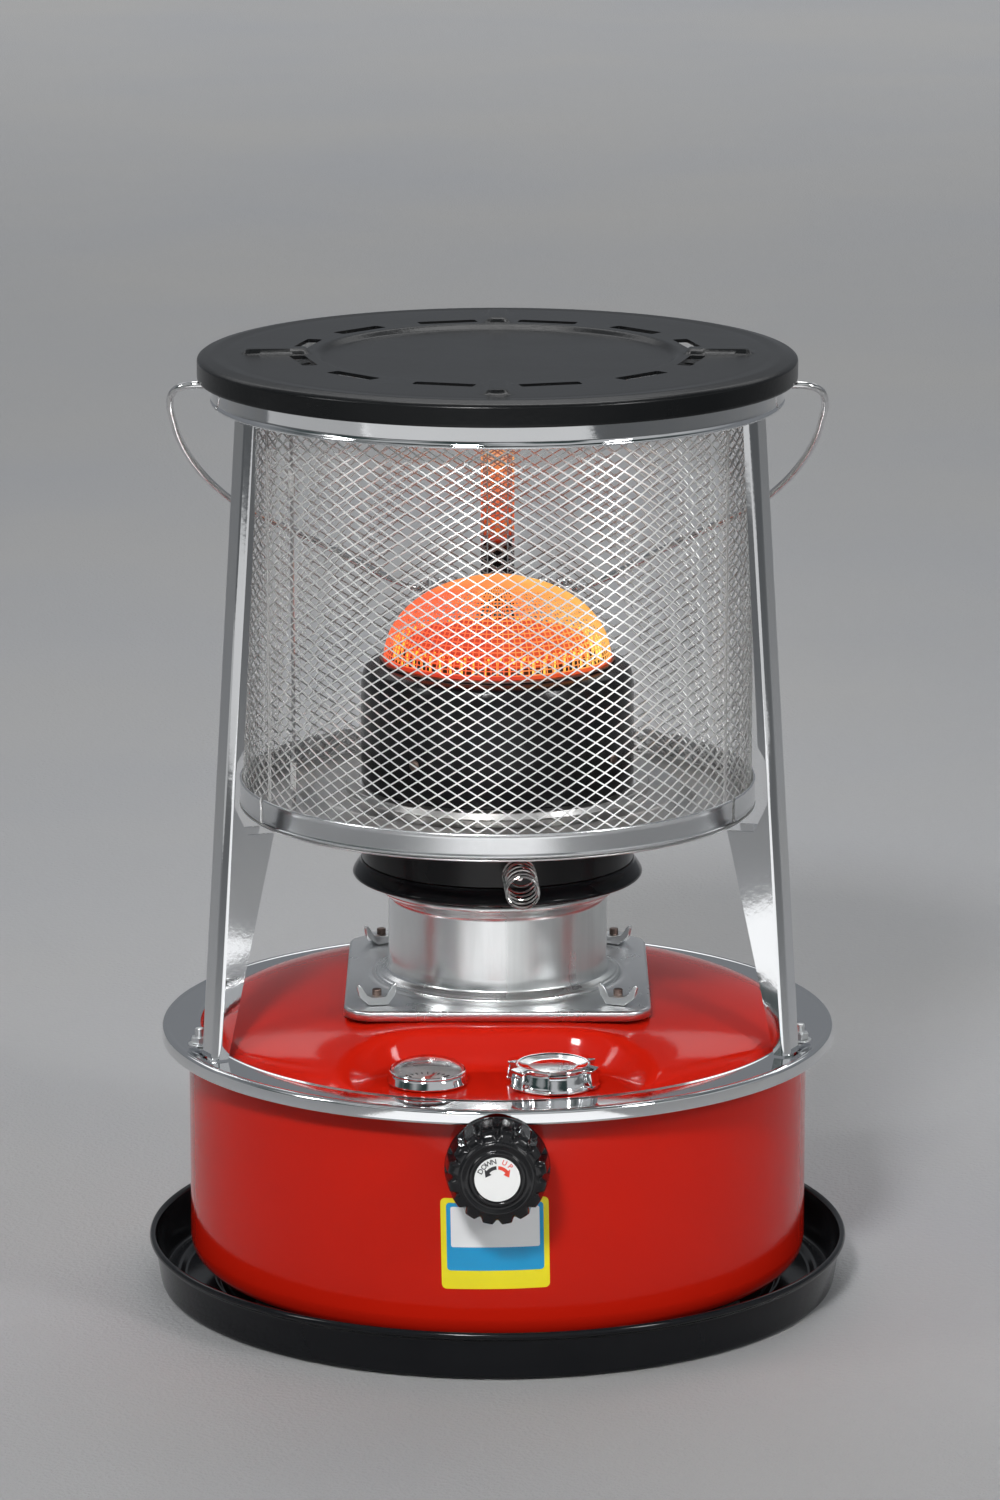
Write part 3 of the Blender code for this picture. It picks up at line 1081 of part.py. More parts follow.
def leg(name, turn, tab_side):
    ledge = FLOOR_Z - LEG_LEDGE_DROP
    under_floor = ledge - LEG_LEDGE_DROP
    levels = [
        (LEG_BOTTOM, LEG_FOOT_DEPTH), (under_floor, leg_radius(under_floor) - LEG_BRACKET_RADIUS),
        (ledge, leg_radius(ledge) - LEG_LEDGE_RADIUS), (LEG_NOTCH_START_Z, LEG_NOTCH_DEPTH),
        (LEG_NOTCH_END_Z, LEG_NOTCH_DEPTH), (LEG_NOTCH_END_Z + LEG_NOTCH_RAMP, LEG_FOOT_DEPTH),
        (LEG_TOP, LEG_TOP_DEPTH),
    ]
    rings = [leg_section(height, depth) for height, depth in levels]
    made = solid(name, lofted(rings), (0.74, 0.75, 0.77), 0.12, 1.0, (0, 0, 0), (0, 0, turn))
    inside = LEG_WIDTH / 2 - SHEET / 2
    low_x, high_x = sorted((tab_side * inside, tab_side * (LEG_WIDTH / 2 + TAB_LENGTH)))
    tab = box((low_x, -TAB_RADIUS, LEG_BOTTOM), (high_x, -TAB_RADIUS + TAB_WIDTH / 2, LEG_BOTTOM + SHEET))
    combine(made, cutter(name + "_tab", tab, (0, 0, 0), (0, 0, turn)), "UNION")
    low = LEG_BOTTOM + SHEET + GAP
    outline = [(0, low), (BOLT_HEAD_RADIUS, low), (BOLT_HEAD_RADIUS, low + BOLT_HEAD_HEIGHT),
               (BOLT_STUD_RADIUS, low + BOLT_HEAD_HEIGHT), (BOLT_STUD_RADIUS, low + BOLT_HEIGHT),
               (0, low + BOLT_HEIGHT)]
    reach = -TAB_RADIUS + TAB_WIDTH / 4
    spot = Matrix.Rotation(turn, 4, "Z") @ Vector((tab_side * (LEG_WIDTH / 2 + TAB_LENGTH * 0.6), reach, 0))
    solid(name.replace("leg", "bolt"), turned_solid(outline, TINY_STEPS), (0.70, 0.70, 0.70), 0.22, 1.0,
          spot, (0, 0, turn))


def legs():
    for name, turn, side in zip(("leg_left", "leg_right", "leg_rear"), LEG_ANGLES, (-1, 1, 1)):
        leg(name, turn, side)


# Carrying handle


def bail_rest_angle():
    # Turned down behind until its grip rests on the rear leg's leaning face
    lean = math.atan2(LEG_LEAN, LEG_TOP - LEG_BOTTOM)
    seat = BAIL_GRIP_RADIUS + GAP
    reach = seat + LEG_FOOT_RADIUS * math.cos(lean) - (BAIL_Z - LEG_BOTTOM) * math.sin(lean)
    return math.acos(reach / BAIL_ARM_LENGTH) - lean


def bail():
    half = [Vector((BAIL_HALF_WIDTH * w, BAIL_ARM_LENGTH * r, 0)) for w, r in zip(BAIL_WIDTH_SHARES, BAIL_REACH_SHARES)]
    half.insert(0, Vector((BAIL_END_X, 0, 0)))
    half.append(Vector((0, BAIL_ARM_LENGTH, 0)))
    side = smooth_path(half, BAIL_PATH_STEPS)[:-1]
    middle = Vector((0, BAIL_ARM_LENGTH, 0))
    points = side + [middle] + [Vector((-p.x, p.y, p.z)) for p in reversed(side)]
    turn = (-bail_rest_angle(), 0, 0)
    axis = (0, 0, BAIL_Z)
    wire("bail", points, BAIL_WIRE_RADIUS, 1, (0.72, 0.73, 0.75), 0.14, 1.0, axis, turn)
    points = winding(BAIL_GRIP_RADIUS, BAIL_GRIP_WIRE_RADIUS, BAIL_WIRE_RADIUS, BAIL_GRIP_LENGTH, BAIL_GRIP_TURNS,
                     BAIL_CURL_POINTS, ("start", "end"))
    across = Matrix.Rotation(math.radians(90.0), 3, "Y")
    start = Vector((-BAIL_GRIP_LENGTH / 2, BAIL_ARM_LENGTH, 0))
    points = [across @ point + start for point in points]
    print_least_gap("bail_grip", points, BAIL_GRIP_WIRE_RADIUS, BAIL_CURL_POINTS)
    wire("bail_grip", points, BAIL_GRIP_WIRE_RADIUS, 1, (0.72, 0.73, 0.75), 0.14, 1.0, axis, turn)


for old in list(bpy.data.objects):
    bpy.data.objects.remove(old, do_unlink=True)

drip_tray()
tank_feet()
tank_cup()
tank_top()
flange_ring()
fuel_gauge()
float_parts()
filler_neck()
filler_cap()
mounting_plate()
plate_gasket()
wing_nuts()
wick_casing()
draft_tube()
wick_parts()
wick_drive()
knob()
burner_dish()
burner_drum()
flame_tubes()
glow_dome()
burner_lever()
guard_floor()
guard_band("rear_band", REAR_BAND_ANGLE, math.tau - REAR_BAND_ANGLE, 30)
guard_band("door_band", -DOOR_BAND_ANGLE, DOOR_BAND_ANGLE, 16)
guard_mesh("rear_mesh", REAR_MESH_ANGLE, math.tau - REAR_MESH_ANGLE, REAR_COLUMNS, TAIL_RELIEF)
guard_mesh("door_mesh", -DOOR_MESH_ANGLE, DOOR_MESH_ANGLE, DOOR_COLUMNS)
door_hinge()
top_ring()
top_plate()
legs()
bail()
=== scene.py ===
import math
import bpy
import bmesh
from mathutils import Matrix, Vector


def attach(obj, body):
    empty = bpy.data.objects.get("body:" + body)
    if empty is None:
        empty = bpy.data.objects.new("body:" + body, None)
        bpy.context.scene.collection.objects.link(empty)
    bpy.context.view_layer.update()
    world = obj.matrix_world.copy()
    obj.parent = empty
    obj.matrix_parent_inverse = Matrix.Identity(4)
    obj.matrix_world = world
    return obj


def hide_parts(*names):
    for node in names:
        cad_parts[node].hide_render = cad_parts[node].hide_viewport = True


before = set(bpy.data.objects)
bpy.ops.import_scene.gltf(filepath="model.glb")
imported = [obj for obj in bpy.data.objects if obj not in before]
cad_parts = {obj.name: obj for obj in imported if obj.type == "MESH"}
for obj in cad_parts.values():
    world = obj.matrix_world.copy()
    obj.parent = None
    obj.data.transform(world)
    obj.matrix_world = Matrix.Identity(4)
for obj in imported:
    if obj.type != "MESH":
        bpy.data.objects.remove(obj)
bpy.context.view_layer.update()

# Stage: a wide floor of plain grey cloth, in a room that is lit in patches in front of the stove and
# evenly dim behind it. Three wide lamps lie face up just over the floor for the metal to mirror,
# and five hang round the stove. The camera looks slightly down from about 2.8 m in front.


def feed(tree, socket, value):
    # Sets a socket to a plain value, or links another node's output to it
    if isinstance(value, bpy.types.NodeSocket):
        tree.links.new(value, socket)
    else:
        socket.default_value = value


def fill(tree, made, **sockets):
    for name, value in sockets.items():
        feed(tree, made.inputs[name.replace("_", " ")], value)
    return made


def node(tree, kind, **sockets):
    return fill(tree, tree.nodes.new("ShaderNode" + kind), **sockets)


def maths(tree, operation, *values, kind="Math"):
    made = tree.nodes.new("ShaderNode" + kind)
    made.operation = operation
    for socket, value in zip(made.inputs, values):
        feed(tree, socket, value)
    return made.outputs[0]


def blend(tree, share, low, high):
    made = tree.nodes.new("ShaderNodeMix")
    made.data_type = "RGBA"
    return fill(tree, made, Factor=share, A=low, B=high).outputs["Result"]


def spanned(tree, value, low, high):
    # The value's share of the way from low to high
    return node(tree, "MapRange", Value=value, From_Min=low, From_Max=high).outputs["Result"]


def meshed(bm, name):
    mesh = bpy.data.meshes.new(name)
    bm.to_mesh(mesh)
    bm.free()
    return mesh


def linked(name, data):
    made = bpy.data.objects.new(name, data)
    bpy.context.scene.collection.objects.link(made)
    return made


stage = bpy.context.scene
stage.view_settings.view_transform = "Standard"
bm = bmesh.new()
bmesh.ops.create_circle(bm, cap_ends=True, segments=96, radius=14.0)
floor_mesh = meshed(bm, "studio_floor")
floor = linked("studio_floor", floor_mesh)
cloth = bpy.data.materials.new("studio_cloth")
cloth.use_nodes = True
tree = cloth.node_tree
place = node(tree, "TexCoord").outputs["Object"]
patches = node(tree, "TexNoise", Vector=place, Scale=2.2, Detail=3.0).outputs["Fac"]
weave = node(tree, "TexNoise", Vector=place, Scale=420.0).outputs["Fac"]
fill(tree, tree.nodes["Principled BSDF"], Roughness=0.95, Specular_IOR_Level=0.15,
     Base_Color=blend(tree, patches, (0.34, 0.35, 0.375, 1), (0.40, 0.39, 0.375, 1)),
     Normal=node(tree, "Bump", Distance=0.0008, Height=weave).outputs["Normal"])
floor_mesh.materials.append(cloth)

room = bpy.data.worlds.new("studio_room")
room.use_nodes = True
stage.world = room
tree = room.node_tree
place = node(tree, "TexCoord").outputs["Generated"]
behind = spanned(tree, node(tree, "SeparateXYZ", Vector=place).outputs["Y"], -0.25, 0.45)
patches = node(tree, "TexNoise", Vector=place, Scale=1.7, Detail=1.0).outputs["Fac"]
front = blend(tree, spanned(tree, patches, 0.40, 0.54), (0.030, 0.048, 0.047, 1), (0.48, 0.49, 0.50, 1))
fill(tree, tree.nodes["Background"], Color=blend(tree, behind, front, (0.20, 0.21, 0.225, 1)))

for lamp_name, spot, aim, width, height, power, spread in (
        ("lamp_front", (-0.7, -3.0, 2.5), (0, 0.1, 0.2), 0.55, 0.40, 4.6, 40),
        ("lamp_table_near", (0.0, -0.98, 0.01), (0.0, -0.97, 1.0), 0.84, 1.05, 2.35, 180),
        ("lamp_table_far", (-0.65, -2.20, 0.01), (-0.65, -2.19, 1.0), 4.3, 1.4, 10.4, 180),
        ("lamp_table_left", (-2.15, -0.45, 0.01), (-2.15, -0.44, 1.0), 1.3, 2.1, 2.8, 180),
        ("lamp_left", (-2.4, -0.9, 1.7), (0, 0, 0.2), 0.35, 1.1, 0.7, 40),
        ("lamp_right", (2.1, -1.7, 1.7), (0, 0, 0.2), 0.40, 0.9, 1.4, 40),
        ("lamp_above", (0.2, 1.3, 3.0), (0.1, 1.0, 0), 1.8, 1.0, 13, 110),
        ("lamp_behind", (0.0, 5.6, 4.2), (0, 6.2, 0), 9.0, 4.0, 180, 150)):
    glow = bpy.data.lights.new(lamp_name, "AREA")
    glow.shape, glow.spread = "RECTANGLE", math.radians(spread)
    glow.size, glow.size_y, glow.energy = width, height, power
    lamp = linked(lamp_name, glow)
    lamp.location = spot
    lamp.rotation_euler = (Vector(aim) - Vector(spot)).to_track_quat("-Z", "Y").to_euler()

lens = bpy.data.cameras.new("camera")
lens.sensor_width = 36.0
lens.lens = 149.9
camera = linked("camera", lens)
camera.location = (0.0011553, -2.8068, 0.8961)
camera.rotation_euler = (math.radians(77.081), 0, 0)
stage.camera = camera

# Drip tray: a shallow pan pressed from steel sheet and enamelled glossy black. It has two low
# rings pressed into its floor and a rim that is rolled outwards.


def make_wear_group():
    # Slightly uneven colour, gloss and surface, shared by every finish
    group = bpy.data.node_groups.new("uneven_finish", "ShaderNodeTree")
    for label, kind, start in (
            ("Colour", "Color", (0.8, 0.8, 0.8, 1)), ("Patch Colour", "Color", (0.7, 0.7, 0.7, 1)),
            ("Patch Scale", "Float", 20.0), ("Patch Amount", "Float", 0.3), ("Roughness", "Float", 0.3),
            ("Roughness Spread", "Float", 0.1), ("Relief Scale", "Float", 200.0),
            ("Relief Depth", "Float", 0.0001), ("Stretch", "Vector", (1, 1, 1))):
        socket = group.interface.new_socket(label, in_out="INPUT", socket_type="NodeSocket" + kind)
        socket.default_value = start
    for label, kind in (("Colour", "Color"), ("Roughness", "Float"), ("Normal", "Vector")):
        group.interface.new_socket(label, in_out="OUTPUT", socket_type="NodeSocket" + kind)
    asked = group.nodes.new("NodeGroupInput").outputs
    place = node(group, "TexCoord").outputs["Object"]
    place = maths(group, "MULTIPLY", place, asked["Stretch"], kind="VectorMath")
    patches = node(group, "TexNoise", Vector=place, Scale=asked["Patch Scale"], Detail=5.0, Roughness=0.62)
    relief = node(group, "TexNoise", Vector=place, Scale=asked["Relief Scale"], Detail=3.0)
    edge = spanned(group, patches.outputs["Fac"], 0.36, 0.66)
    share = maths(group, "MULTIPLY", edge, asked["Patch Amount"])
    centred = maths(group, "SUBTRACT", edge, 0.5)
    bump = node(group, "Bump", Strength=1.0, Distance=asked["Relief Depth"], Height=relief.outputs["Fac"])
    fill(group, group.nodes.new("NodeGroupOutput"), Normal=bump.outputs["Normal"],
         Colour=blend(group, share, asked["Colour"], asked["Patch Colour"]),
         Roughness=maths(group, "MULTIPLY_ADD", centred, asked["Roughness Spread"], asked["Roughness"]))
    return group


wear_group = make_wear_group()


def worn_node(tree, **sockets):
    worn = tree.nodes.new("ShaderNodeGroup")
    worn.node_tree = wear_group
    worn.name = "worn"
    return fill(tree, worn, **sockets).outputs


def metalware(name, colour, patch, roughness, spread, relief, metallic=0.0, coat=0.0, amount=0.3, scale=20.0,
              stretch=(1, 1, 1), specular=0.5):
    # A finish with patches of a second colour. Its relief is a (scale, depth in metres).
    made = bpy.data.materials.new(name)
    made.use_nodes = True
    tree = made.node_tree
    worn = worn_node(tree, Colour=(*colour, 1), Patch_Colour=(*patch, 1), Patch_Scale=scale,
                     Patch_Amount=amount, Roughness=roughness, Roughness_Spread=spread,
                     Relief_Scale=relief[0], Relief_Depth=relief[1], Stretch=stretch)
    fill(tree, tree.nodes["Principled BSDF"], Base_Color=worn["Colour"], Roughness=worn["Roughness"],
         Normal=worn["Normal"], Metallic=metallic, Coat_Weight=coat, Coat_Roughness=0.04,
         Specular_IOR_Level=specular)
    made.diffuse_color = (*colour, 1)
    return made


def bevel(bm, geom, offset, segments, affect="EDGES", clamp=False):
    bmesh.ops.bevel(bm, geom=geom, offset=offset, offset_type="OFFSET", segments=segments, profile=0.5,
                    affect=affect, clamp_overlap=clamp, material=-1)


def face_out(bm):
    bmesh.ops.recalc_face_normals(bm, faces=bm.faces)


def thicken(bm, thickness):
    bmesh.ops.solidify(bm, geom=bm.faces, thickness=thickness)


def turned(outline, steps=144, start=0.0, sweep=math.tau, unit=1000):
    # Spins a wire of (radius, height, corner rounding) points about the stove's axis, in millimetres.
    # An outline that begins and ends on the axis stays open there, and any other is closed.
    bm = bmesh.new()
    verts = [bm.verts.new((point[0] / unit, 0, point[1] / unit)) for point in outline]
    for first, second in zip(verts, verts[1:]):
        bm.edges.new((first, second))
    if outline[0][0] > 0 or outline[-1][0] > 0:
        bm.edges.new((verts[-1], verts[0]))
    for vert, point in zip(verts, outline):
        if len(point) > 2:
            bevel(bm, [vert], point[2] / unit, 4, affect="VERTICES", clamp=True)
    bmesh.ops.rotate(bm, cent=(0, 0, 0), matrix=Matrix.Rotation(start - math.pi / 2, 3, "Z"), verts=bm.verts)
    full = sweep >= math.tau
    ends = list(bm.edges)
    bmesh.ops.spin(bm, geom=list(bm.verts) + ends, cent=(0, 0, 0), axis=(0, 0, 1), angle=sweep, steps=steps,
                   use_merge=full, use_duplicate=False)
    bmesh.ops.remove_doubles(bm, verts=bm.verts, dist=2e-6)
    if not full:
        bmesh.ops.holes_fill(bm, edges=[edge for edge in bm.edges if edge.is_boundary], sides=0)
    face_out(bm)
    return bm


NET_FACES = 40000  # a piece with this many faces or more is a net, whose flat strands need no evened shading


def put(bm, name, body, material, nodes=(), at=(0, 0, 0), tilt=None, sharp=38):
    # Turns a finished bmesh into a piece that rides on its body
    if tilt is not None:
        bmesh.ops.transform(bm, matrix=tilt, verts=bm.verts)
    if any(at):
        bmesh.ops.translate(bm, vec=at, verts=bm.verts)
    mesh = meshed(bm, name)
    mesh.materials.append(material)
    mesh.shade_smooth()
    mesh.set_sharp_from_angle(angle=math.radians(sharp))
    piece = linked(name, mesh)
    if len(mesh.polygons) < NET_FACES:
        even = piece.modifiers.new("even_shading", "WEIGHTED_NORMAL")
        even.keep_sharp = True
    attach(piece, body)
    if nodes:
        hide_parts(*nodes)
    return piece


black_enamel = metalware("black_enamel", (0.006, 0.0065, 0.008), (0.012, 0.0125, 0.014), 0.12, 0.08,
                         (260, 0.00003), specular=0.20)
pan = turned([
    (0, 0), (146.5, 0, 1), (149, 2.4, 1), (151.5, 2.4, 1), (154, 0, 1), (157.2, 0, 2.2), (158, 3.4, 2),
    (160.6, 19.6, 1), (162.2, 20.4, 1.2), (163, 21.4, 1), (163, 23, 1), (161.4, 24, 1.2), (159.8, 22.8, 1),
    (157.1, 4, 2), (156.4, 1.2, 1), (154.1, 1.2, 0.8), (151.4, 3.6, 1), (149.1, 3.6, 1), (146.4, 1.2, 0.8),
    (132, 1.2, 0.8), (130.5, 2.2, 0.6), (128.5, 2.2, 0.6), (127, 1.2, 0.8), (0, 1.2)])
put(pan, "tray_pan", "frame", black_enamel, ["drip_tray"])

# Tank feet: three low pads of black rubber in a ring under the tank. They lift the tank off the
# drip tray.


def finish_node(material, *nodes):
    # Gives CAD solids that stay in view their detailed finish
    for node_name in nodes:
        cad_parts[node_name].data.materials.clear()
        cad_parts[node_name].data.materials.append(material)


foot_rubber = metalware("foot_rubber", (0.018, 0.018, 0.018), (0.05, 0.048, 0.045), 0.75, 0.1, (900, 0.0001))
finish_node(foot_rubber, "tank_foot_1", "tank_foot_2", "tank_foot_3")

# Tank body: a deep cup drawn from steel sheet and enamelled glossy red. Its wall is pushed out in a
# small round boss where the knob's shaft comes out, and its flange is folded outwards at the top.

red_enamel = metalware("red_enamel", (0.53, 0.012, 0.004), (0.46, 0.010, 0.004), 0.11, 0.08, (190, 0.00005),
                       scale=9.0, specular=0.20)
TANK_RADIUS = 0.1435
KNOB_HEIGHT = 0.0990
BOSS_RADIUS = 0.0225
BOSS_SLOPE = 0.0090
BOSS_RISE = 0.0038


def limited(share):
    return min(1.0, max(0.0, share))


def eased(share):
    # A share from 0 to 1 with soft ends
    share = limited(share)
    return share * share * (3 - 2 * share)


def cup_bulge(x, z):
    # How far the pressed boss stands out of the wall at this place on the front
    return BOSS_RISE * eased((BOSS_RADIUS - math.hypot(x, z - KNOB_HEIGHT)) / BOSS_SLOPE)


wall = [(143.5, 24 + 3 * k) for k in range(33)]
cup = turned([
    (41.4, 12.5), (110, 12.5), (143.5, 12.5, 10), *wall, (143.5, 120.8, 0.6), (150, 120.8, 0.3),
    (150, 121.8, 0.3), (142.5, 121.8), (142.5, 13.5, 9.5), (41.4, 13.5)], steps=216)
for vert in cup.verts:
    if vert.co.y < 0 and 0.07 < vert.co.z < 0.1207 and vert.co.xy.length > 0.1430:
        reach = vert.co.xy.length
        vert.co.xy *= (reach + cup_bulge(vert.co.x, vert.co.z)) / reach
put(cup, "tank_body", "frame", red_enamel, ["tank_cup"])

# Tank top: a domed pressing of the same sheet and enamel, seamed to the body. A wide hollow with
# soft sloping walls is pressed into its front, where the gauge and the filler stand.

FLANGE_Z = 0.1231
FLOOR_OF_HOLLOW = 0.1233
HOLLOW_HALF_WIDTH = 0.0600
HOLLOW_BACK = 0.0890
HOLLOW_CORNER = 0.0300
HOLLOW_SLOPE = 0.0135
DOME_FLAT_RADIUS = 0.0720
DOME_SLOPE = 0.0652
DOME_RISE = 0.0182
DOME_SHEET = 0.0010


def into_hollow(x, y):
    # Distance outside the hollow's flat floor, a wide square with round back corners, open to the front
    far_x, far_y = abs(x) - HOLLOW_HALF_WIDTH + HOLLOW_CORNER, y + HOLLOW_BACK + HOLLOW_CORNER
    return math.hypot(max(far_x, 0), max(far_y, 0)) + min(max(far_x, far_y), 0) - HOLLOW_CORNER


def dome_height(reach):
    # How high the domed sheet stands over the flange at this distance from the middle
    share = max(0.0, (reach - DOME_FLAT_RADIUS) / DOME_SLOPE)
    return DOME_RISE * (1 - share ** 1.6) ** 0.567


reaches = [0.0519, 0.0600, 0.0680] + [DOME_FLAT_RADIUS + 0.00148 * k for k in range(44)]
upper = [(reach, FLANGE_Z + dome_height(reach)) for reach in reaches]
flange = [(0.1372, FLANGE_Z, 0.0005), (0.1500, FLANGE_Z, 0.0003), (0.1500, 0.1221, 0.0003), (0.1362, 0.1221)]
lower = [(reach, FLANGE_Z - DOME_SHEET + dome_height(reach)) for reach in reversed(reaches[::3])]
dome = turned(upper + flange + lower, steps=240, unit=1)
for vert in dome.verts:
    reach = vert.co.xy.length
    if reach < 0.1371 and vert.co.y < 0:
        inner_side = vert.co.z < FLANGE_Z - DOME_SHEET / 2 + dome_height(reach)
        level = FLOOR_OF_HOLLOW - (DOME_SHEET if inner_side else 0)
        share = limited(into_hollow(vert.co.x, vert.co.y) / HOLLOW_SLOPE)
        if vert.co.z > level:
            vert.co.z = level + (vert.co.z - level) * share ** 3 * (share * (share * 6 - 15) + 10)
put(dome, "tank_dome", "frame", red_enamel, ["tank_top"], sharp=50)

# Flange ring: a bright plated steel ring folded over the tank's seam. Its outer edge is rolled down
# into a lip, which has a round notch above the knob.


def shifted(x, y, z):
    return Matrix.Translation((x, y, z))


def rotated(degrees, axis):
    return Matrix.Rotation(math.radians(degrees), 4, axis)


def cone(bm, segments, low, high, depth, where):
    return bmesh.ops.create_cone(bm, cap_ends=True, segments=segments, radius1=low, radius2=high, depth=depth,
                                 matrix=where)


def carve(bm, tool):
    # Cuts the tool's closed shape out of the mesh
    made = [linked("carving", meshed(shape, "carving")) for shape in (bm, tool)]
    step = made[0].modifiers.new("cut", "BOOLEAN")
    step.operation, step.solver, step.object = "DIFFERENCE", "EXACT", made[1]
    bpy.context.view_layer.update()
    done = bpy.data.meshes.new_from_object(made[0].evaluated_get(bpy.context.evaluated_depsgraph_get()))
    cut = bmesh.new()
    cut.from_mesh(done)
    for shape in made:
        mesh = shape.data
        bpy.data.objects.remove(shape)
        bpy.data.meshes.remove(mesh)
    bpy.data.meshes.remove(done)
    return cut


plated = metalware("bright_plating", (0.80, 0.81, 0.82), (0.74, 0.75, 0.76), 0.06, 0.03, (340, 0.000012),
                   metallic=1.0)
ring = turned([
    (138, 123.4, 0.2), (154.6, 123.4, 0.8), (155, 118, 0.3), (155.8, 117.8, 0.3), (156.2, 118.6, 0.4),
    (156, 124, 1.2), (154, 124.6, 1), (152.5, 124.1, 0.6), (140, 124.1, 0.6), (138.8, 124.6, 0.4),
    (138, 124.4, 0.3)], steps=240)
notch = bmesh.new()
cone(notch, 48, 0.0136, 0.0136, 0.012, shifted(0, -0.1575, 0.1099) @ rotated(90, "X"))
put(carve(ring, notch), "seam_ring", "frame", plated, ["flange_ring"])

# Fuel gauge: a plated bezel on a thin flange, a pale dial with a printed scale and a pointer, and a
# clear domed glass. The float hangs from its brass stem inside the tank.

GAUGE = (-0.0314, -0.1060, 0)


def block(bm, where, width, depth, height):
    bmesh.ops.create_cube(bm, size=1, matrix=where @ Matrix.Diagonal((width, depth, height, 1)))


bezel = turned([
    (10.5, 123.7), (17.6, 123.7, 0.3), (18.4, 124.2, 0.5), (18.4, 124.8, 0.6), (17.4, 128, 0.5),
    (17.1, 128.4, 0.3), (17.8, 128.8, 0.4), (17.7, 129.5, 0.5), (17.4, 130, 0.5), (16.9, 130, 0.3),
    (16.6, 129.5), (16.6, 124.7), (10.5, 124.7)], steps=96)
put(bezel, "gauge_ring", "frame", plated, ["gauge_bezel"], GAUGE)
silvered = metalware("silvered_dial", (0.93, 0.93, 0.93), (0.86, 0.87, 0.87), 0.36, 0.06, (600, 0.00002),
                     metallic=0.15)
dial = turned([
    (0, 125.3), (12.2, 125.3, 1), (15.5, 127, 0.4), (16.4, 127, 0.2), (16.4, 126.2), (12.4, 124.8),
    (0, 124.8)], steps=72)
put(dial, "gauge_face", "frame", silvered, ["gauge_dial"], GAUGE)
dark_print = metalware("dark_print", (0.015, 0.015, 0.018), (0.03, 0.03, 0.035), 0.5, 0.1, (900, 0.00001))
red_print = metalware("red_print", (0.78, 0.06, 0.03), (0.70, 0.06, 0.04), 0.45, 0.1, (900, 0.00001))
scale_marks = bmesh.new()
for k in range(9):
    block(scale_marks, rotated(-60 + 15 * k, "Z") @ shifted(0, 0.0098, 0.12545),
          0.0005, 0.0030 if k % 4 == 0 else 0.0018, 0.0003)
put(scale_marks, "gauge_scale", "frame", dark_print, (), GAUGE)
pointer = bmesh.new()
lying = shifted(0, 0, 0.1259) @ rotated(-25, "Z") @ shifted(0, 0.0040, 0) @ rotated(-90, "X")
cone(pointer, 12, 0.0007, 0.0001, 0.0110, lying)
cone(pointer, 20, 0.0016, 0.0012, 0.0010, shifted(0, 0, 0.1259))
put(pointer, "gauge_pointer", "frame", red_print, (), GAUGE)
clear = bpy.data.materials.new("gauge_glass")
clear.use_nodes = True
tree = clear.node_tree
worn = worn_node(tree, Colour=(0.97, 0.98, 0.98, 1), Patch_Colour=(0.92, 0.94, 0.94, 1), Roughness=0.05,
                 Roughness_Spread=0.05, Patch_Scale=160.0)
fill(tree, tree.nodes["Principled BSDF"], Base_Color=worn["Colour"], Roughness=worn["Roughness"],
     Transmission_Weight=1.0, IOR=1.48)
GLASS_STEPS = 12
angles = [math.pi / 2 * k / GLASS_STEPS for k in range(GLASS_STEPS)]
domed = [(16.5 * math.cos(t), 129.6 + 5.4 * math.sin(t) ** 1.15) for t in angles]
under = [(15.5 * math.cos(t), 129.2 + 4.8 * math.sin(t) ** 1.15) for t in reversed(angles)]
glass = turned([(0, 134.0), *under, (16.5, 128.8), *domed, (0, 135.0)], steps=72)
put(glass, "gauge_window", "frame", clear, ["gauge_lens"], GAUGE)

# Float: a stem and an arm of plain brass inside the tank, under the gauge, with a cylinder of dark
# foam on the arm's end. The foam floats on the fuel, and the arm swings with it.

brass = metalware("plain_brass", (0.72, 0.56, 0.28), (0.60, 0.45, 0.22), 0.30, 0.15, (500, 0.00003),
                  metallic=1.0)
foam = metalware("float_foam", (0.09, 0.08, 0.07), (0.14, 0.12, 0.10), 0.85, 0.1, (1400, 0.0003))
finish_node(brass, "gauge_stem", "float_arm", "pinion")
finish_node(foam, "gauge_float")

# Filler neck: a short zinc plated spout with two thread ridges and a wide foot on the tank's top.
# A fine gauze strainer of brass wire lies across it.

FILLER = (0.0250, -0.1100, 0)
GAUZE_RADIUS = 0.0136
zinc = metalware("zinc_plating", (0.76, 0.77, 0.78), (0.64, 0.66, 0.65), 0.29, 0.04, (420, 0.00002),
                 metallic=1.0, amount=0.3, scale=24.0)
neck = turned([
    (13.7, 123.7), (19, 123.7, 0.2), (19, 124.5, 0.3), (15.2, 125, 0.8), (14.9, 126.8, 0.4),
    (15.5, 127.4, 0.4), (14.9, 128, 0.4), (14.9, 129, 0.4), (15.5, 129.6, 0.4), (15, 130.3, 0.4),
    (15, 131.3, 0.3), (13.7, 131.3, 0.3)], steps=96)
put(neck, "filler_spout", "frame", zinc, ["filler_neck"], FILLER)
gauze = bmesh.new()
bmesh.ops.create_grid(gauze, x_segments=22, y_segments=22, size=GAUZE_RADIUS)
bmesh.ops.delete(gauze, geom=[vert for vert in gauze.verts if vert.co.length > GAUZE_RADIUS], context="VERTS")
bmesh.ops.wireframe(gauze, faces=gauze.faces, thickness=0.00035, use_boundary=True, use_even_offset=True,
                    use_replace=True)
put(gauze, "filler_strainer", "frame", brass, (), (*FILLER[:2], 0.1262))

# Filler cap: a plated cap pressed from one sheet, with six deep grip lugs, a thin round rim and a
# dished top.

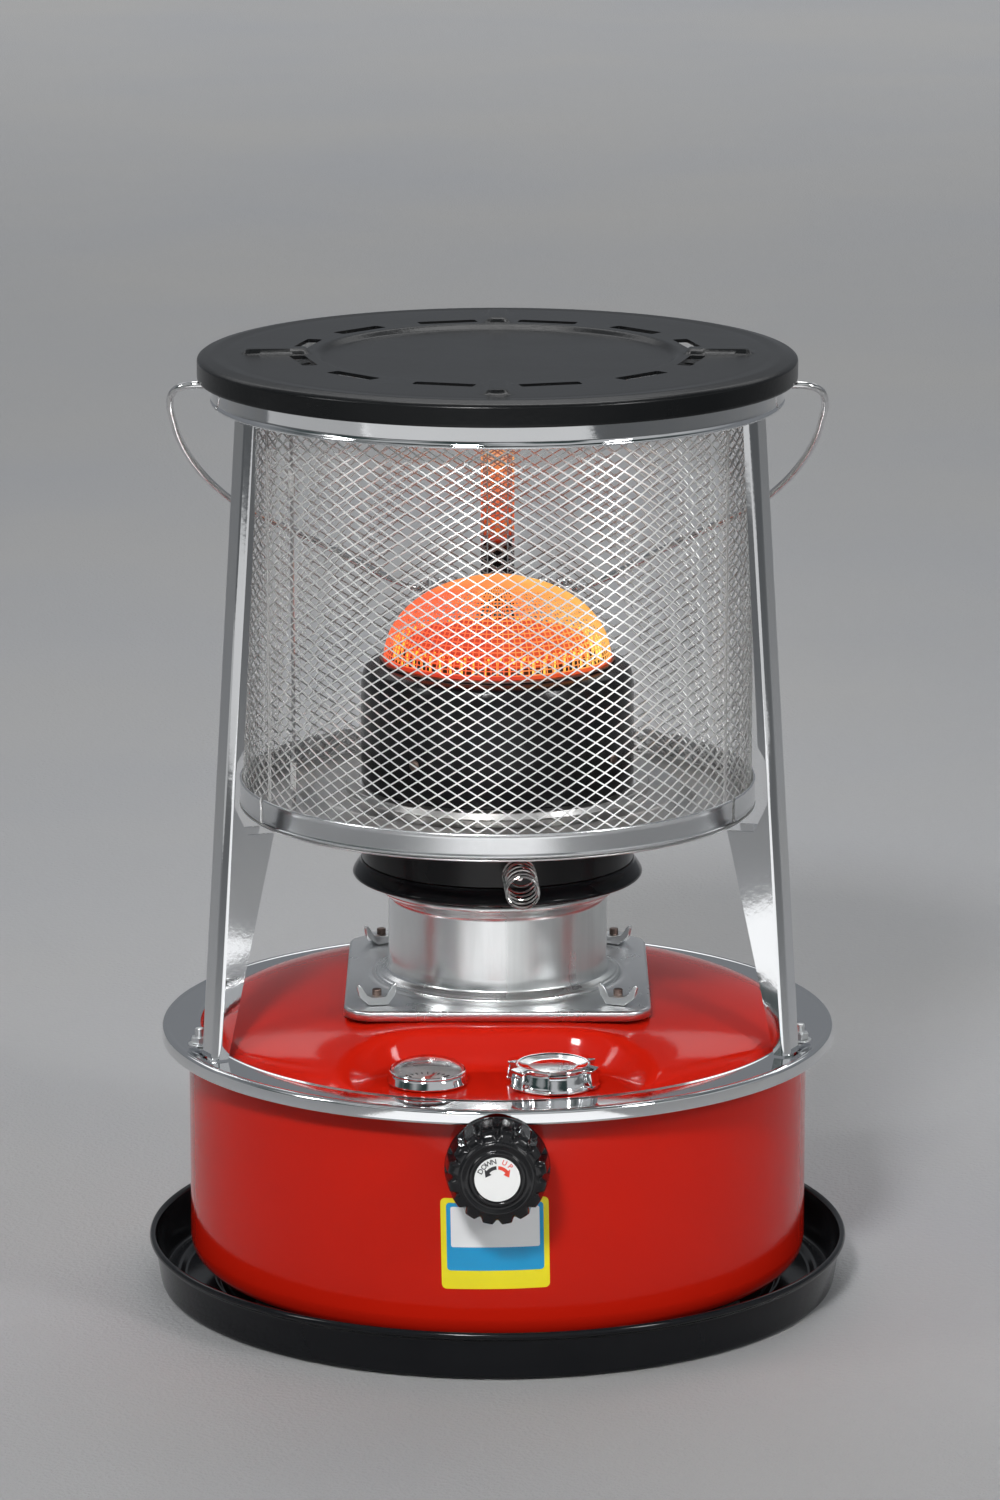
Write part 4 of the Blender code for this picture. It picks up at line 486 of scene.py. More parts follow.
cap = turned([
    (0, 131.7), (15.8, 131.7), (15.8, 124.4), (16.5, 124.3, 0.2), (17.6, 124.8, 0.4), (17.5, 125.5, 0.3),
    (17.2, 126, 0.4), (16.9, 127.5), (16.7, 129), (16.4, 130.5), (16.2, 131.9, 0.5), (17, 132.6, 0.5),
    (17, 133.4, 0.5), (16.4, 133.9, 0.4), (15.7, 133.9, 0.4), (15, 133.5, 0.4), (10.8, 132.4, 0.6),
    (0, 132.4)], steps=360)
LUG_STEP = 60  # degrees from one grip lug to the next
LUG_REACH = 0.0040
for vert in cap.verts:
    if vert.co.xy.length > 0.0161:
        turn = (math.degrees(math.atan2(vert.co.y, vert.co.x)) + 90 - 6) % LUG_STEP
        share = limited((15.0 - min(turn, LUG_STEP - turn)) / 4.0) * limited((0.1340 - vert.co.z) / 0.0010)
        vert.co.xy *= 1 + LUG_REACH * eased(share) / vert.co.xy.length
put(cap, "fuel_cap", "cap", plated, ["filler_cap"], FILLER)

# Mounting plate: a square of zinc plated sheet with round corners and a folded edge. It clamps the
# burner to the tank over a black gasket, and has a pressed ring round the burner's casing.


def extruded(bm, edges):
    # Grows a strip of faces on open edges, and gives its far verts and edges
    grown = bmesh.ops.extrude_edge_only(bm, edges=edges)["geom"]
    return ([item for item in grown if isinstance(item, bmesh.types.BMVert)],
            [item for item in grown if isinstance(item, bmesh.types.BMEdge)])


plate = bmesh.new()
bmesh.ops.create_grid(plate, x_segments=1, y_segments=1, size=0.0700)
bevel(plate, list(plate.verts), 0.0135, 10, affect="VERTICES")
bmesh.ops.delete(plate, geom=list(plate.faces), context="FACES_ONLY")
bmesh.ops.create_circle(plate, cap_ends=False, segments=96, radius=0.0605)
bmesh.ops.bridge_loops(plate, edges=list(plate.edges))
inner_edges = [edge for edge in plate.edges if edge.is_boundary and edge.verts[0].co.length < 0.0620]
for radius, height in ((0.0590, 0.0009), (0.0575, 0.0009), (0.0560, 0.0), (0.0508, 0.0)):
    grown, inner_edges = extruded(plate, inner_edges)
    for vert in grown:
        vert.co = Vector((vert.co.x, vert.co.y, 0)).normalized() * radius + Vector((0, 0, height))
rim = [edge for edge in plate.edges if edge.is_boundary and edge.verts[0].co.length > 0.0650]
grown, rim = extruded(plate, rim)
bmesh.ops.translate(plate, vec=(0, 0, -0.0046), verts=grown)
face_out(plate)
corner = [edge for edge in plate.edges if edge.calc_face_angle(0) > 1.2 and edge.verts[0].co.length > 0.065]
bevel(plate, corner, 0.0014, 4)
piece = put(plate, "burner_plate", "frame", zinc, ["mounting_plate"], (0, 0, 0.1463))
if piece.data.polygons[0].normal.z < 0 and piece.data.polygons[0].center.z > 0.146:
    piece.data.flip_normals()
thick = piece.modifiers.new("sheet", "SOLIDIFY")
thick.thickness, thick.offset = 0.0010, -1.0
gasket_paper = metalware("gasket_paper", (0.05, 0.045, 0.04), (0.09, 0.08, 0.07), 0.85, 0.1, (1200, 0.0002))
finish_node(gasket_paper, "plate_gasket")

# Wing nuts: four zinc plated nuts with two thin upturned wings each, on short dark studs near the
# mounting plate's corners. They hold the plate down.

dull_steel = metalware("dull_steel", (0.20, 0.15, 0.13), (0.12, 0.08, 0.06), 0.45, 0.15, (700, 0.00006),
                       metallic=1.0)
WING_OUTLINE = (
    (-8.6, 9.2), (-9.4, 7.8), (-8.2, 3.2), (-4.4, 0), (4.4, 0), (8.2, 3.2), (9.4, 7.8), (8.6, 9.2),
    (7, 7.8), (5, 4.4), (2.6, 3.8), (-2.6, 3.8), (-5, 4.4), (-7, 7.8))  # across and up, in millimetres
STUD_PLACE = 0.055
for number, (left, front, turn) in enumerate(((-1, -1, 12), (1, -1, -18), (-1, 1, 34), (1, 1, -30)), start=1):
    facing = shifted(left * STUD_PLACE, front * STUD_PLACE, 0.1466) @ rotated(turn, "Z")
    nut = bmesh.new()
    for near in (-1, 1):
        row = [nut.verts.new((x / 1000, near * (0.0044 if abs(x) < 4.6 else 0.0011), z / 1000))
               for x, z in WING_OUTLINE]
        for first, second in zip(row, row[1:] + row[:1]):
            nut.edges.new((first, second))
    bmesh.ops.bridge_loops(nut, edges=list(nut.edges))
    bmesh.ops.holes_fill(nut, edges=[edge for edge in nut.edges if edge.is_boundary], sides=0)
    face_out(nut)
    bevel(nut, [edge for edge in nut.edges if edge.calc_face_angle(0) > 0.6], 0.0005, 3, clamp=True)
    put(nut, f"wing_nut_body_{number}", "frame", zinc, [f"wing_nut_{number}"], tilt=facing,
        sharp=50)
    stud = turned([(0, 0.1), (2.1, 0.1), (2.1, 6.6, 0.4), (0, 6.8)], steps=20)
    put(stud, f"wing_nut_stud_{number}", "frame", dull_steel, tilt=facing)

# Wick casing: a short wide pipe of bright zinc plated steel with a rolled foot, which stands on the
# mounting plate, and a flared collar that carries the burner.

casing_zinc = metalware("casing_zinc", (0.90, 0.905, 0.91), (0.52, 0.55, 0.54), 0.27, 0.08, (160, 0.00002),
                        metallic=1.0, amount=0.75, scale=26.0, stretch=(1, 1, 0.06))
casing = turned([
    (49.8, 124), (50.6, 124), (50.6, 146.6), (57, 146.6, 0.5), (57.2, 147.8, 0.7), (56, 148.8, 0.6),
    (54.5, 148.6, 0.6), (53, 149.4, 0.8), (51.5, 150.2, 1), (50.7, 154, 2), (50.6, 183.8, 0.6),
    (51.2, 185.6, 1), (54.5, 188, 1), (55.6, 189.2, 0.6), (55.7, 190.8, 0.6), (54.7, 192, 0.6),
    (53.4, 192.3, 0.4), (53, 191.7, 0.3), (53, 190.7, 0.3), (50.8, 190.6, 0.3), (50, 190.5, 0.2),
    (50, 189.8), (53.4, 189.7, 0.4), (53.8, 188.6, 0.4), (50.8, 186.2, 0.8), (49.8, 184.2, 0.6)], steps=160)
put(casing, "burner_pipe", "frame", casing_zinc, ["wick_casing"])

# Draft tube, wick and wick drive: a steel pipe up the middle of the tank, a woven cotton wick round
# it, and the band, strip, wheel and shaft that raise it.

tube_steel = metalware("tube_steel", (0.55, 0.55, 0.56), (0.42, 0.41, 0.41), 0.34, 0.14, (300, 0.00005),
                       metallic=1.0)
finish_node(tube_steel, "draft_tube", "wick_carrier", "wick_shaft", "hinge_rod")
finish_node(zinc, "shaft_gland")
cotton = metalware("wick_cotton", (0.72, 0.66, 0.55), (0.50, 0.44, 0.35), 0.95, 0.05, (1500, 0.0006),
                   amount=0.5, scale=60.0)
tree = cotton.node_tree
weave = node(tree, "TexWave", Vector=node(tree, "TexCoord").outputs["Object"], Scale=420.0)
weave.bands_direction = "Z"
ribs = node(tree, "Bump", Distance=0.0004, Height=weave.outputs["Fac"],
            Normal=tree.nodes["worn"].outputs["Normal"])
fill(tree, tree.nodes["Principled BSDF"], Normal=ribs.outputs["Normal"])
finish_node(cotton, "wick")

# Knob: a glossy black moulding that tapers forwards, with sixteen grooves to grip. A white printed
# disc in its face carries two curved arrows and the words for lowering and raising the wick.

FORWARD = shifted(0, 0, KNOB_HEIGHT) @ rotated(90, "X")
knob_black = metalware("knob_black", (0.008, 0.008, 0.009), (0.014, 0.014, 0.015), 0.16, 0.10,
                       (900, 0.00001), coat=0.1, scale=50.0, specular=0.30)
knob = turned([
    (3.2, 170), (3.2, 152.5), (18.5, 152.5, 0.8), (22.8, 155.2, 1.5), (23.5, 156.8, 1.2), (23.5, 158.8, 1),
    (23.2, 160), (23.1, 161.2), (23, 162.4), (22.9, 164), (22.7, 166), (22.5, 168), (22.2, 170),
    (21.9, 171.8), (21.2, 173.3), (19.8, 174.3), (18.2, 174.8, 0.6), (17.1, 174.9, 0.4),
    (16.5, 175.8, 0.5), (15.6, 175.9, 0.4), (14, 175.2, 0.6), (12.8, 175.2, 0.5), (12.3, 176, 0.5),
    (11, 176, 0.4), (10.6, 175.6, 0.3), (10.5, 174.9), (3.2, 174.9)], steps=256)
GROOVES = 16
GROOVE_DEPTH = 0.0021
FACE_RADIUS = 0.0172
for vert in knob.verts:
    reach = vert.co.xy.length
    if reach > FACE_RADIUS and vert.co.z > 0.1590:
        along = limited((vert.co.z - 0.1596) / 0.0030) * limited((reach - FACE_RADIUS) / 0.0030)
        groove = max(0.0, math.cos(GROOVES * math.atan2(vert.co.y, vert.co.x))) ** 1.4
        vert.co.xy *= (reach - GROOVE_DEPTH * along * groove) / reach
put(knob, "wick_knob", "adjuster", knob_black, ["knob"], tilt=FORWARD, sharp=30)
white_print = metalware("white_print", (0.84, 0.84, 0.83), (0.78, 0.78, 0.76), 0.38, 0.08, (700, 0.00001))
disc = turned([(0, 175.3), (10.1, 175.3), (10.1, 175.7, 0.1), (0, 175.7)], steps=72)
put(disc, "knob_plate", "adjuster", white_print, ["knob_disc"], tilt=FORWARD)
for name, side, ink in (("arrow_lower", -1, dark_print), ("arrow_raise", 1, red_print)):
    arrow = bmesh.new()
    low, high = arrow.verts.new((0, 0.0046, 0)), arrow.verts.new((0, 0.0062, 0))
    edge = arrow.edges.new((low, high))
    bmesh.ops.spin(arrow, geom=[low, high, edge], cent=(0, 0, 0), axis=(0, 0, 1), angle=math.radians(-48),
                   steps=14)
    point = [arrow.verts.new(Matrix.Rotation(math.radians(-turn), 3, "Z") @ Vector((0, reach, 0)))
             for turn, reach in ((46, 0.0034), (46, 0.0074), (76, 0.0053))]
    arrow.faces.new(point)
    bmesh.ops.rotate(arrow, cent=(0, 0, 0), matrix=Matrix.Rotation(math.radians(-4), 3, "Z"),
                     verts=arrow.verts)
    if side < 0:
        bmesh.ops.scale(arrow, vec=(-1, 1, 1), verts=arrow.verts)
    face_out(arrow)
    thicken(arrow, -0.00012)
    face_out(arrow)
    put(arrow, name, "adjuster", ink, tilt=FORWARD @ shifted(0, 0, 0.17572))


def cast(shape):
    # Makes a curve or a letter a mesh
    holder = linked("casting", shape)
    bpy.context.view_layer.update()
    mesh = bpy.data.meshes.new_from_object(holder.evaluated_get(bpy.context.evaluated_depsgraph_get()))
    bpy.data.objects.remove(holder)
    bpy.data.curves.remove(shape)
    return mesh


for word, ink, middle, step in (("DOWN", dark_print, 37.0, 17.5), ("UP", red_print, -33.0, 21.0)):
    letters = bmesh.new()
    for k, letter in enumerate(word):
        shape = bpy.data.curves.new("letter", "FONT")
        shape.body, shape.size, shape.align_x = letter, 0.0032, "CENTER"
        shape.extrude, shape.resolution_u, shape.offset = 0.00005, 3, 0.00004
        mesh = cast(shape)
        mesh.transform(rotated(middle - step * (k - (len(word) - 1) / 2), "Z") @ shifted(0, 0.0072, 0))
        letters.from_mesh(mesh)
        bpy.data.meshes.remove(mesh)
    bmesh.ops.remove_doubles(letters, verts=letters.verts, dist=1e-7)
    face_out(letters)
    put(letters, "word_" + word.lower(), "adjuster", ink,
        tilt=FORWARD @ shifted(0, 0, 0.17577))

# Label: a plain printed sticker under the knob, with a yellow border round a blue and a white
# field. It follows the curve of the tank.


def sliced(bm, point, normal, **options):
    bmesh.ops.bisect_plane(bm, geom=[*bm.verts, *bm.edges, *bm.faces], plane_co=point, plane_no=normal,
                           **options)


YELLOW, BLUE, WHITE = (0.86, 0.74, 0.01), (0.01, 0.30, 0.60), (0.82, 0.83, 0.84)
for name, colour, width, low, high, corner, lift in (
        ("label_border", YELLOW, 0.0485, 0.0384, 0.0806, 0.0022, 0.00010),
        ("label_field", BLUE, 0.0435, 0.0470, 0.0784, 0.0016, 0.00018),
        ("label_panel", WHITE, 0.0397, 0.0579, 0.0766, 0.0009, 0.00026)):
    ink = metalware(name + "_print", colour, tuple(0.9 * value for value in colour), 0.22, 0.08,
                    (500, 0.00001), coat=0.4, scale=60.0)
    sheet = bmesh.new()
    bmesh.ops.create_grid(sheet, x_segments=1, y_segments=1, size=0.5)
    bmesh.ops.scale(sheet, vec=(width, high - low, 1), verts=sheet.verts)
    bevel(sheet, list(sheet.verts), corner, 5, affect="VERTICES")
    for k in range(1, 16):
        sliced(sheet, (width * (k / 16 - 0.5), 0, 0), (1, 0, 0))
    for k in range(1, 5):
        sliced(sheet, (0, (high - low) * (k / 5 - 0.5), 0), (0, 1, 0))
    bmesh.ops.rotate(sheet, cent=(0, 0, 0), matrix=Matrix.Rotation(math.radians(1.0), 3, "Z"),
                     verts=sheet.verts)
    for vert in sheet.verts:
        turn = (vert.co.x - 0.0010) / TANK_RADIUS
        height = vert.co.y + (low + high) / 2
        reach = TANK_RADIUS + lift + cup_bulge(TANK_RADIUS * math.sin(turn), height)
        vert.co = Vector((reach * math.sin(turn), -reach * math.cos(turn), height))
    face_out(sheet)
    if sum(face.normal.y for face in sheet.faces) > 0:
        bmesh.ops.reverse_faces(sheet, faces=sheet.faces)
    thicken(sheet, 0.00008)
    put(sheet, name, "frame", ink)

# Burner dish: a shallow pan of steel sheet, enamelled glossy black. It rests on the casing's collar,
# carries the drum, and rises with it when the burner is lifted.

dish = turned([
    (47.5, 190.8), (51.7, 190.8, 0.4), (52.5, 192.9, 0.5), (65.8, 194.4, 0.8), (66.9, 195, 0.5),
    (67, 196, 0.8), (65.6, 198.8, 3), (63.6, 201, 1.5), (63, 202.2, 0.2), (61.8, 202.2, 0.2),
    (62.4, 200.4, 1), (64.3, 198.4, 2), (65.2, 196.4, 1), (51.8, 193.9, 0.6), (51, 191.8, 0.4),
    (47.5, 191.8)], steps=160)
put(dish, "burner_saucer", "burner", black_enamel, ["burner_dish"])

# Burner drum: a straight steel sleeve with a rounded shoulder, enamelled black, with four
# round-headed screws a little above the middle of its side.

drum_black = metalware("drum_black", (0.008, 0.008, 0.009), (0.015, 0.014, 0.014), 0.20, 0.10,
                       (380, 0.00005), scale=16.0, specular=0.30)
drum = turned([
    (62, 202.5), (62.8, 202.5, 0.3), (62.8, 288, 4.5), (60.5, 292.8, 3.5), (55.6, 295, 3),
    (51.6, 295, 0.3), (51.3, 294.6, 0.3), (51.3, 294.2), (55.4, 294.2, 3), (59.8, 292, 3), (62, 287.6, 4)],
    steps=160)
put(drum, "burner_sleeve", "burner", drum_black, ["burner_drum"])
for number, turn in enumerate((-36.7, 57.0, 143.0, 237.0), start=1):
    screw = turned([(0, 0), (2.7, 0, 0.2), (2.7, 0.6, 0.4), (1.6, 1.4, 0.6), (0, 1.5)], steps=28)
    spot = rotated(turn, "Z") @ shifted(0, -0.0628, 0.2565) @ rotated(90, "X")
    put(screw, f"sleeve_screw_{number}", "burner", dull_steel, tilt=spot)

# Burner lever: a short steel rod that points forwards from the front of the drum, with a coil of
# bright spring wire round it as a cool grip.


def coil(turns, radius, length, wire_radius, start_radius=None, end_radius=None, closed=0.0, per_turn=20):
    # Bends a wire into a winding along Z. It closes in on the rod at either end where asked, and its
    # last turns lie close together where closed counts them.
    shape = bpy.data.curves.new("coil", "CURVE")
    shape.dimensions, shape.bevel_depth = "3D", wire_radius
    shape.bevel_resolution, shape.use_fill_caps = 2, True
    spline = shape.splines.new("POLY")
    count = round(turns * per_turn)
    spline.points.add(count)
    for k, point in enumerate(spline.points):
        done = k / per_turn
        reach = radius
        if start_radius is not None and done < 1:
            reach = start_radius + (radius - start_radius) * done
        if end_radius is not None and turns - done < 1:
            reach = end_radius + (radius - end_radius) * (turns - done)
        climb = (length - 2 * wire_radius * closed) * min(1.0, done / (turns - closed))
        climb += 2 * wire_radius * max(0.0, done - turns + closed)
        point.co = (reach * math.cos(math.tau * done), reach * math.sin(math.tau * done), climb, 1)
    return shape


def bent(shape, tilt):
    # Makes a curve a wire, in its place
    mesh = cast(shape)
    bm = bmesh.new()
    bm.from_mesh(mesh)
    bpy.data.meshes.remove(mesh)
    bmesh.ops.remove_doubles(bm, verts=bm.verts, dist=1e-7)
    bmesh.ops.transform(bm, matrix=tilt, verts=bm.verts)
    face_out(bm)
    return bm


wire_steel = metalware("bright_wire", (0.76, 0.76, 0.76), (0.60, 0.58, 0.56), 0.10, 0.04, (900, 0.00002),
                       metallic=1.0, scale=60.0)
spring_steel = metalware("spring_steel", (0.46, 0.45, 0.44), (0.36, 0.35, 0.34), 0.14, 0.04, (900, 0.00002),
                         metallic=1.0, scale=60.0)
LEVER = shifted(0.0094, -0.0622, 0.2110) @ rotated(2.5, "Z") @ rotated(90, "X")
rod = turned([(0, 0.3), (1.5, 0.3), (1.5, 16.3, 0.4), (0, 16.3)], steps=24)
put(rod, "lever_rod", "burner", wire_steel, ["burner_lever"], tilt=LEVER)
spring = bent(coil(7.5, 0.0074, 0.0415, 0.00050, start_radius=0.0024, closed=1.5),
              LEVER @ shifted(0, 0, 0.0022))
put(spring, "lever_coil", "burner", spring_steel, ["lever_grip"])

# Flame tubes: two perforated steel sleeves, tinted by heat, either side of the wick. The outer one's
# upper edge has a row of tall slots that glow brightest, and the inner one carries a steel disc
# with two rows of small holes round its edge.


def glowing(name, cool, hot, strength):
    # Steel at red heat. The heat rises towards the upper right of the dome.
    made = metalware(name, (0.12, 0.03, 0.02), (0.20, 0.06, 0.03), 0.55, 0.1, (800, 0.00005), metallic=0.4)
    tree = made.node_tree
    place = node(tree, "TexCoord").outputs["Object"]
    axes = node(tree, "SeparateXYZ", Vector=place).outputs
    uneven = node(tree, "TexNoise", Vector=place, Scale=34.0).outputs["Fac"]
    across = maths(tree, "MULTIPLY_ADD", axes["X"], 14.0, 0.10)
    upward = maths(tree, "MULTIPLY_ADD", axes["Z"], 16.0, across)
    heat = spanned(tree, maths(tree, "MULTIPLY_ADD", uneven, 1.1, upward), 5.45, 6.55)
    fill(tree, tree.nodes["Principled BSDF"], Emission_Color=blend(tree, heat, (*cool, 1), (*hot, 1)),
         Emission_Strength=strength)
    return made


heat_steel = metalware("heat_tinted_steel", (0.36, 0.20, 0.13), (0.20, 0.14, 0.17), 0.42, 0.15,
                       (420, 0.00006), metallic=1.0, amount=0.7, scale=40.0)
finish_node(heat_steel, "flame_tube_inner", "flame_tube_outer")
slot_glow = glowing("slot_glow", (1.0, 0.42, 0.05), (1.0, 0.72, 0.16), 1.5)
red_heat = glowing("red_heat", (0.62, 0.035, 0.012), (0.95, 0.16, 0.03), 0.9)
TUBE_SLOTS = 54
DISC_HOLES = 72
slots = bmesh.new()
for k in range(TUBE_SLOTS):
    turn = Matrix.Rotation(math.tau * k / TUBE_SLOTS, 4, "Z")
    cone(slots, 6, 0.0005, 0.0005, 0.0076, turn @ shifted(0, -0.0474, 0.3004))
    bmesh.ops.create_icosphere(slots, subdivisions=1, radius=0.0007,
                               matrix=turn @ shifted(0.0014, -0.0466, 0.3046))
put(slots, "tube_slots", "burner", slot_glow)
spread = turned([
    (0, 304.8), (40.5, 304.8), (41.7, 304.4, 0.8), (41.7, 299.4), (42.5, 299.4), (42.5, 304, 1),
    (41.4, 305.6, 1), (30, 306, 2), (10, 305.8, 2), (0, 305.8)], steps=120)
put(spread, "flame_disc", "burner", red_heat, ["flame_spreader"])
sparks = bmesh.new()
for k in range(DISC_HOLES):
    for offset, height, reach in ((0, 0.3022, 0.0427), (0.5, 0.3046, 0.0421)):
        turn = Matrix.Rotation(math.tau * (k + offset) / DISC_HOLES, 4, "Z")
        bmesh.ops.create_icosphere(sparks, subdivisions=1, radius=0.00062,
                                   matrix=turn @ shifted(0, -reach, height))
put(sparks, "disc_holes", "burner", slot_glow)

# Glow dome: a half round of fine steel wire cloth over the flame, standing on the outer tube's rim.
# It glows red to the left and nearly yellow to the upper right.

dome_wire = glowing("dome_wire", (1.0, 0.15, 0.055), (1.0, 0.60, 0.13), 1.05)
net = bmesh.new()
bmesh.ops.create_uvsphere(net, u_segments=112, v_segments=56, radius=0.0522)
sliced(net, (0, 0, 0.0010), (0, 0, 1), clear_inner=True)
bmesh.ops.delete(net, geom=[vert for vert in net.verts if vert.co.z > 0.0515], context="VERTS")
bmesh.ops.scale(net, vec=(1, 1, 0.716), verts=net.verts)
cells = list(net.faces)
bmesh.ops.inset_individual(net, faces=cells, thickness=0.00024, use_even_offset=True)
bmesh.ops.delete(net, geom=cells, context="FACES")
net.normal_update()
thicken(net, 0.0003)
put(net, "wire_cloth_dome", "burner", dome_wire, ["glow_dome"], (0, 0, 0.2962), sharp=180)
crown = bmesh.new()
bmesh.ops.create_uvsphere(crown, u_segments=48, v_segments=24, radius=0.0530)
bmesh.ops.delete(crown, geom=[vert for vert in crown.verts if vert.co.z < 0.0500], context="VERTS")
bmesh.ops.scale(crown, vec=(1, 1, 0.705), verts=crown.verts)
crown.normal_update()
thicken(crown, 0.0003)
put(crown, "dome_crown", "burner", dome_wire, (), (0, 0, 0.2964))
hem = turned([(51.5, 296.4), (52.7, 296.4, 0.3), (52.7, 298, 0.4), (51.5, 298, 0.3)], steps=120)
put(hem, "dome_hem", "burner", red_heat)

# Guard floor: a round dished plate of bright steel under the guard, with a raised collar round the
# burner drum. The heat has yellowed it slightly in patches.

floor_steel = metalware("floor_steel", (0.66, 0.66, 0.66), (0.52, 0.49, 0.45), 0.30, 0.05, (300, 0.00004),
                        metallic=1.0, amount=0.5, scale=26.0)
dished = turned([
    (64, 238.2), (69, 238.2, 0.6), (70, 235, 0.6), (84.5, 235, 1), (91.2, 228.6, 1), (119, 228.6, 0.3),
    (119, 229.4, 0.3), (91.5, 229.4, 1), (84.8, 235.8, 1), (70.8, 235.8, 0.6), (69.8, 239, 0.6),
    (64, 239, 0.3)])
put(dished, "dished_floor", "frame", floor_steel, ["guard_floor"])

# Guard bands: two plated strips round the foot of the nets, rounded at both edges. The front one
# belongs to the door, and the two meet at a narrow split beside each front leg.

soft_plating = metalware("soft_plating", (0.80, 0.81, 0.82), (0.72, 0.73, 0.74), 0.24, 0.08, (340, 0.00002),
                         metallic=1.0)
for name, body, node_name, start, sweep in (
        ("rear_strip", "frame", "rear_band", 65.2, 229.6), ("door_strip", "door", "door_band", -63.7, 127.4)):
    strip = turned([
        (117.8, 229.7, 0.2), (118.4, 229.7, 0.3), (119, 230.5, 0.6), (118.7, 231.6, 0.8),
        (118.6, 239.4, 0.8), (119, 240.4, 0.6), (118.5, 241.3, 0.4), (117.8, 241.1, 0.2)],
        steps=round(sweep * 0.6), start=math.radians(start), sweep=math.radians(sweep))
    put(strip, name, body, soft_plating, [node_name])

# Guard nets: expanded steel mesh, cut and stretched from plated sheet into flat diamonds whose
# strands lean a little. The rear net is fixed, and the front one swings with the door.

net_steel = metalware("net_steel", (0.76, 0.76, 0.75), (0.69, 0.69, 0.69), 0.34, 0.10, (700, 0.00004),
                      metallic=0.6, scale=70.0)
NET_LOW, NET_HIGH = 0.2298, 0.4156
NET_ROWS = 33
NET_LEAN = 0.00022
STRAND_WIDTH = 0.00058


def stretched_net(start, sweep, columns):
    # A turned grid, cut to the panel and pierced, gives the diamonds. The panel is then rolled round
    # the stove.
    bm = bmesh.new()
    start, sweep, tall = math.radians(start), math.radians(sweep), NET_HIGH - NET_LOW
    across, up = 0.1174 * sweep / columns, tall / NET_ROWS
    count = columns + NET_ROWS + 2
    bmesh.ops.create_grid(bm, x_segments=count, y_segments=count, size=count / 2)
    bmesh.ops.rotate(bm, cent=(0, 0, 0), matrix=Matrix.Rotation(math.pi / 4, 3, "Z"), verts=bm.verts)
    bmesh.ops.scale(bm, vec=(across / math.sqrt(2), up / math.sqrt(2), 1), verts=bm.verts)
    half_width, half_height = columns * across / 2, tall / 2
    for normal, reach in (((1, 0, 0), half_width), ((-1, 0, 0), half_width),
                          ((0, 1, 0), half_height), ((0, -1, 0), half_height)):
        sliced(bm, Vector(normal) * reach, normal, clear_outer=True, dist=1e-6)
    cells = list(bm.faces)
    bmesh.ops.inset_individual(bm, faces=cells, thickness=STRAND_WIDTH / 2, use_even_offset=True)
    for cell in cells:
        middle = cell.calc_center_median().y
        for vert in cell.verts:
            vert.co.z = NET_LEAN * (vert.co.y - middle) / up * 2
    bmesh.ops.delete(bm, geom=cells, context="FACES")
    for vert in bm.verts:
        turn = start + sweep * (vert.co.x / (columns * across) + 0.5)
        reach = 0.1171 + vert.co.z
        height = (NET_LOW + NET_HIGH) / 2 + vert.co.y
        vert.co = Vector((reach * math.sin(turn), -reach * math.cos(turn), height))
    return bm


def in_low_corner(face):
    # The rear net's low left corner, at the end of its band, is cut away
    spot = face.calc_center_median()
    return spot.z < 0.2424 and spot.x < 0 and spot.y < 0 and math.degrees(math.atan2(-spot.x, -spot.y)) < 65.6


door_net = stretched_net(-61.0, 122.0, 28)
rear_net = stretched_net(62.2, 235.6, 54)
bmesh.ops.delete(rear_net, geom=[face for face in rear_net.faces if in_low_corner(face)], context="FACES")
for net, name, body, node_name in (
        (rear_net, "rear_netting", "frame", "rear_mesh"), (door_net, "door_netting", "door", "door_mesh")):
    if sum(face.normal.dot(face.calc_center_median().xy.to_3d()) for face in net.faces) < 0:
        bmesh.ops.reverse_faces(net, faces=net.faces)
    net.normal_update()
    thicken(net, 0.0005)
    put(net, name, body, net_steel, [node_name], sharp=30)

# Door hinge: a thin upright steel rod inside the guard, with two short rolled eyes of the door's net
# round it, on which the door turns.

finish_node(net_steel, "door_knuckle_lower", "door_knuckle_upper")

# Top ring: a plated hoop with a flange inwards and a bead round its lower edge. It joins the tops
# of the legs, holds the net, and carries the cooking plate.

hoop = turned([
    (113, 416), (129.2, 416, 0.4), (130.7, 416.1, 0.6), (130.9, 417.1, 0.6), (130.2, 417.9, 0.5),
    (130, 419, 0.6), (130, 435.1, 0.2), (129.2, 435.1, 0.2), (129.2, 417.2, 0.5), (113, 416.8, 0.2)],
    steps=200)
put(hoop, "plate_hoop", "frame", plated, ["top_ring"])

# Cooking plate: a lid of thick steel in satin black enamel, with a shallow round rest for a pot,
# four raised bars that guide the pot, and twelve slots that let the heat through.

plate_black = metalware("plate_black", (0.005, 0.0055, 0.006), (0.010, 0.0105, 0.011), 0.24, 0.06,
                        (420, 0.00008), amount=0.5, scale=14.0, specular=0.20)
lid = turned([
    (0, 435.6), (40, 435.6), (78.6, 435.6, 1), (82.2, 437.8, 1.2),
    *[(84 + 1.3 * k, 437.8) for k in range(30)], (124, 437.7, 1), (129.6, 438, 1), (135.4, 436.9, 1.2),
    (136.6, 435.6, 1), (136.6, 427.4, 0.6), (136.1, 426.6, 0.4), (135, 426.8, 0.4), (135, 434.4, 1),
    (132, 436, 1), (82.6, 436.2, 1.2), (79, 434.1, 1), (0, 434.1)], steps=360)
BAR_MIDDLE, BAR_HALF_LENGTH, BAR_HALF_WIDTH = 0.1005, 0.0128, 0.0034
BAR_SLOPE, BAR_RISE = 0.0030, 0.0021
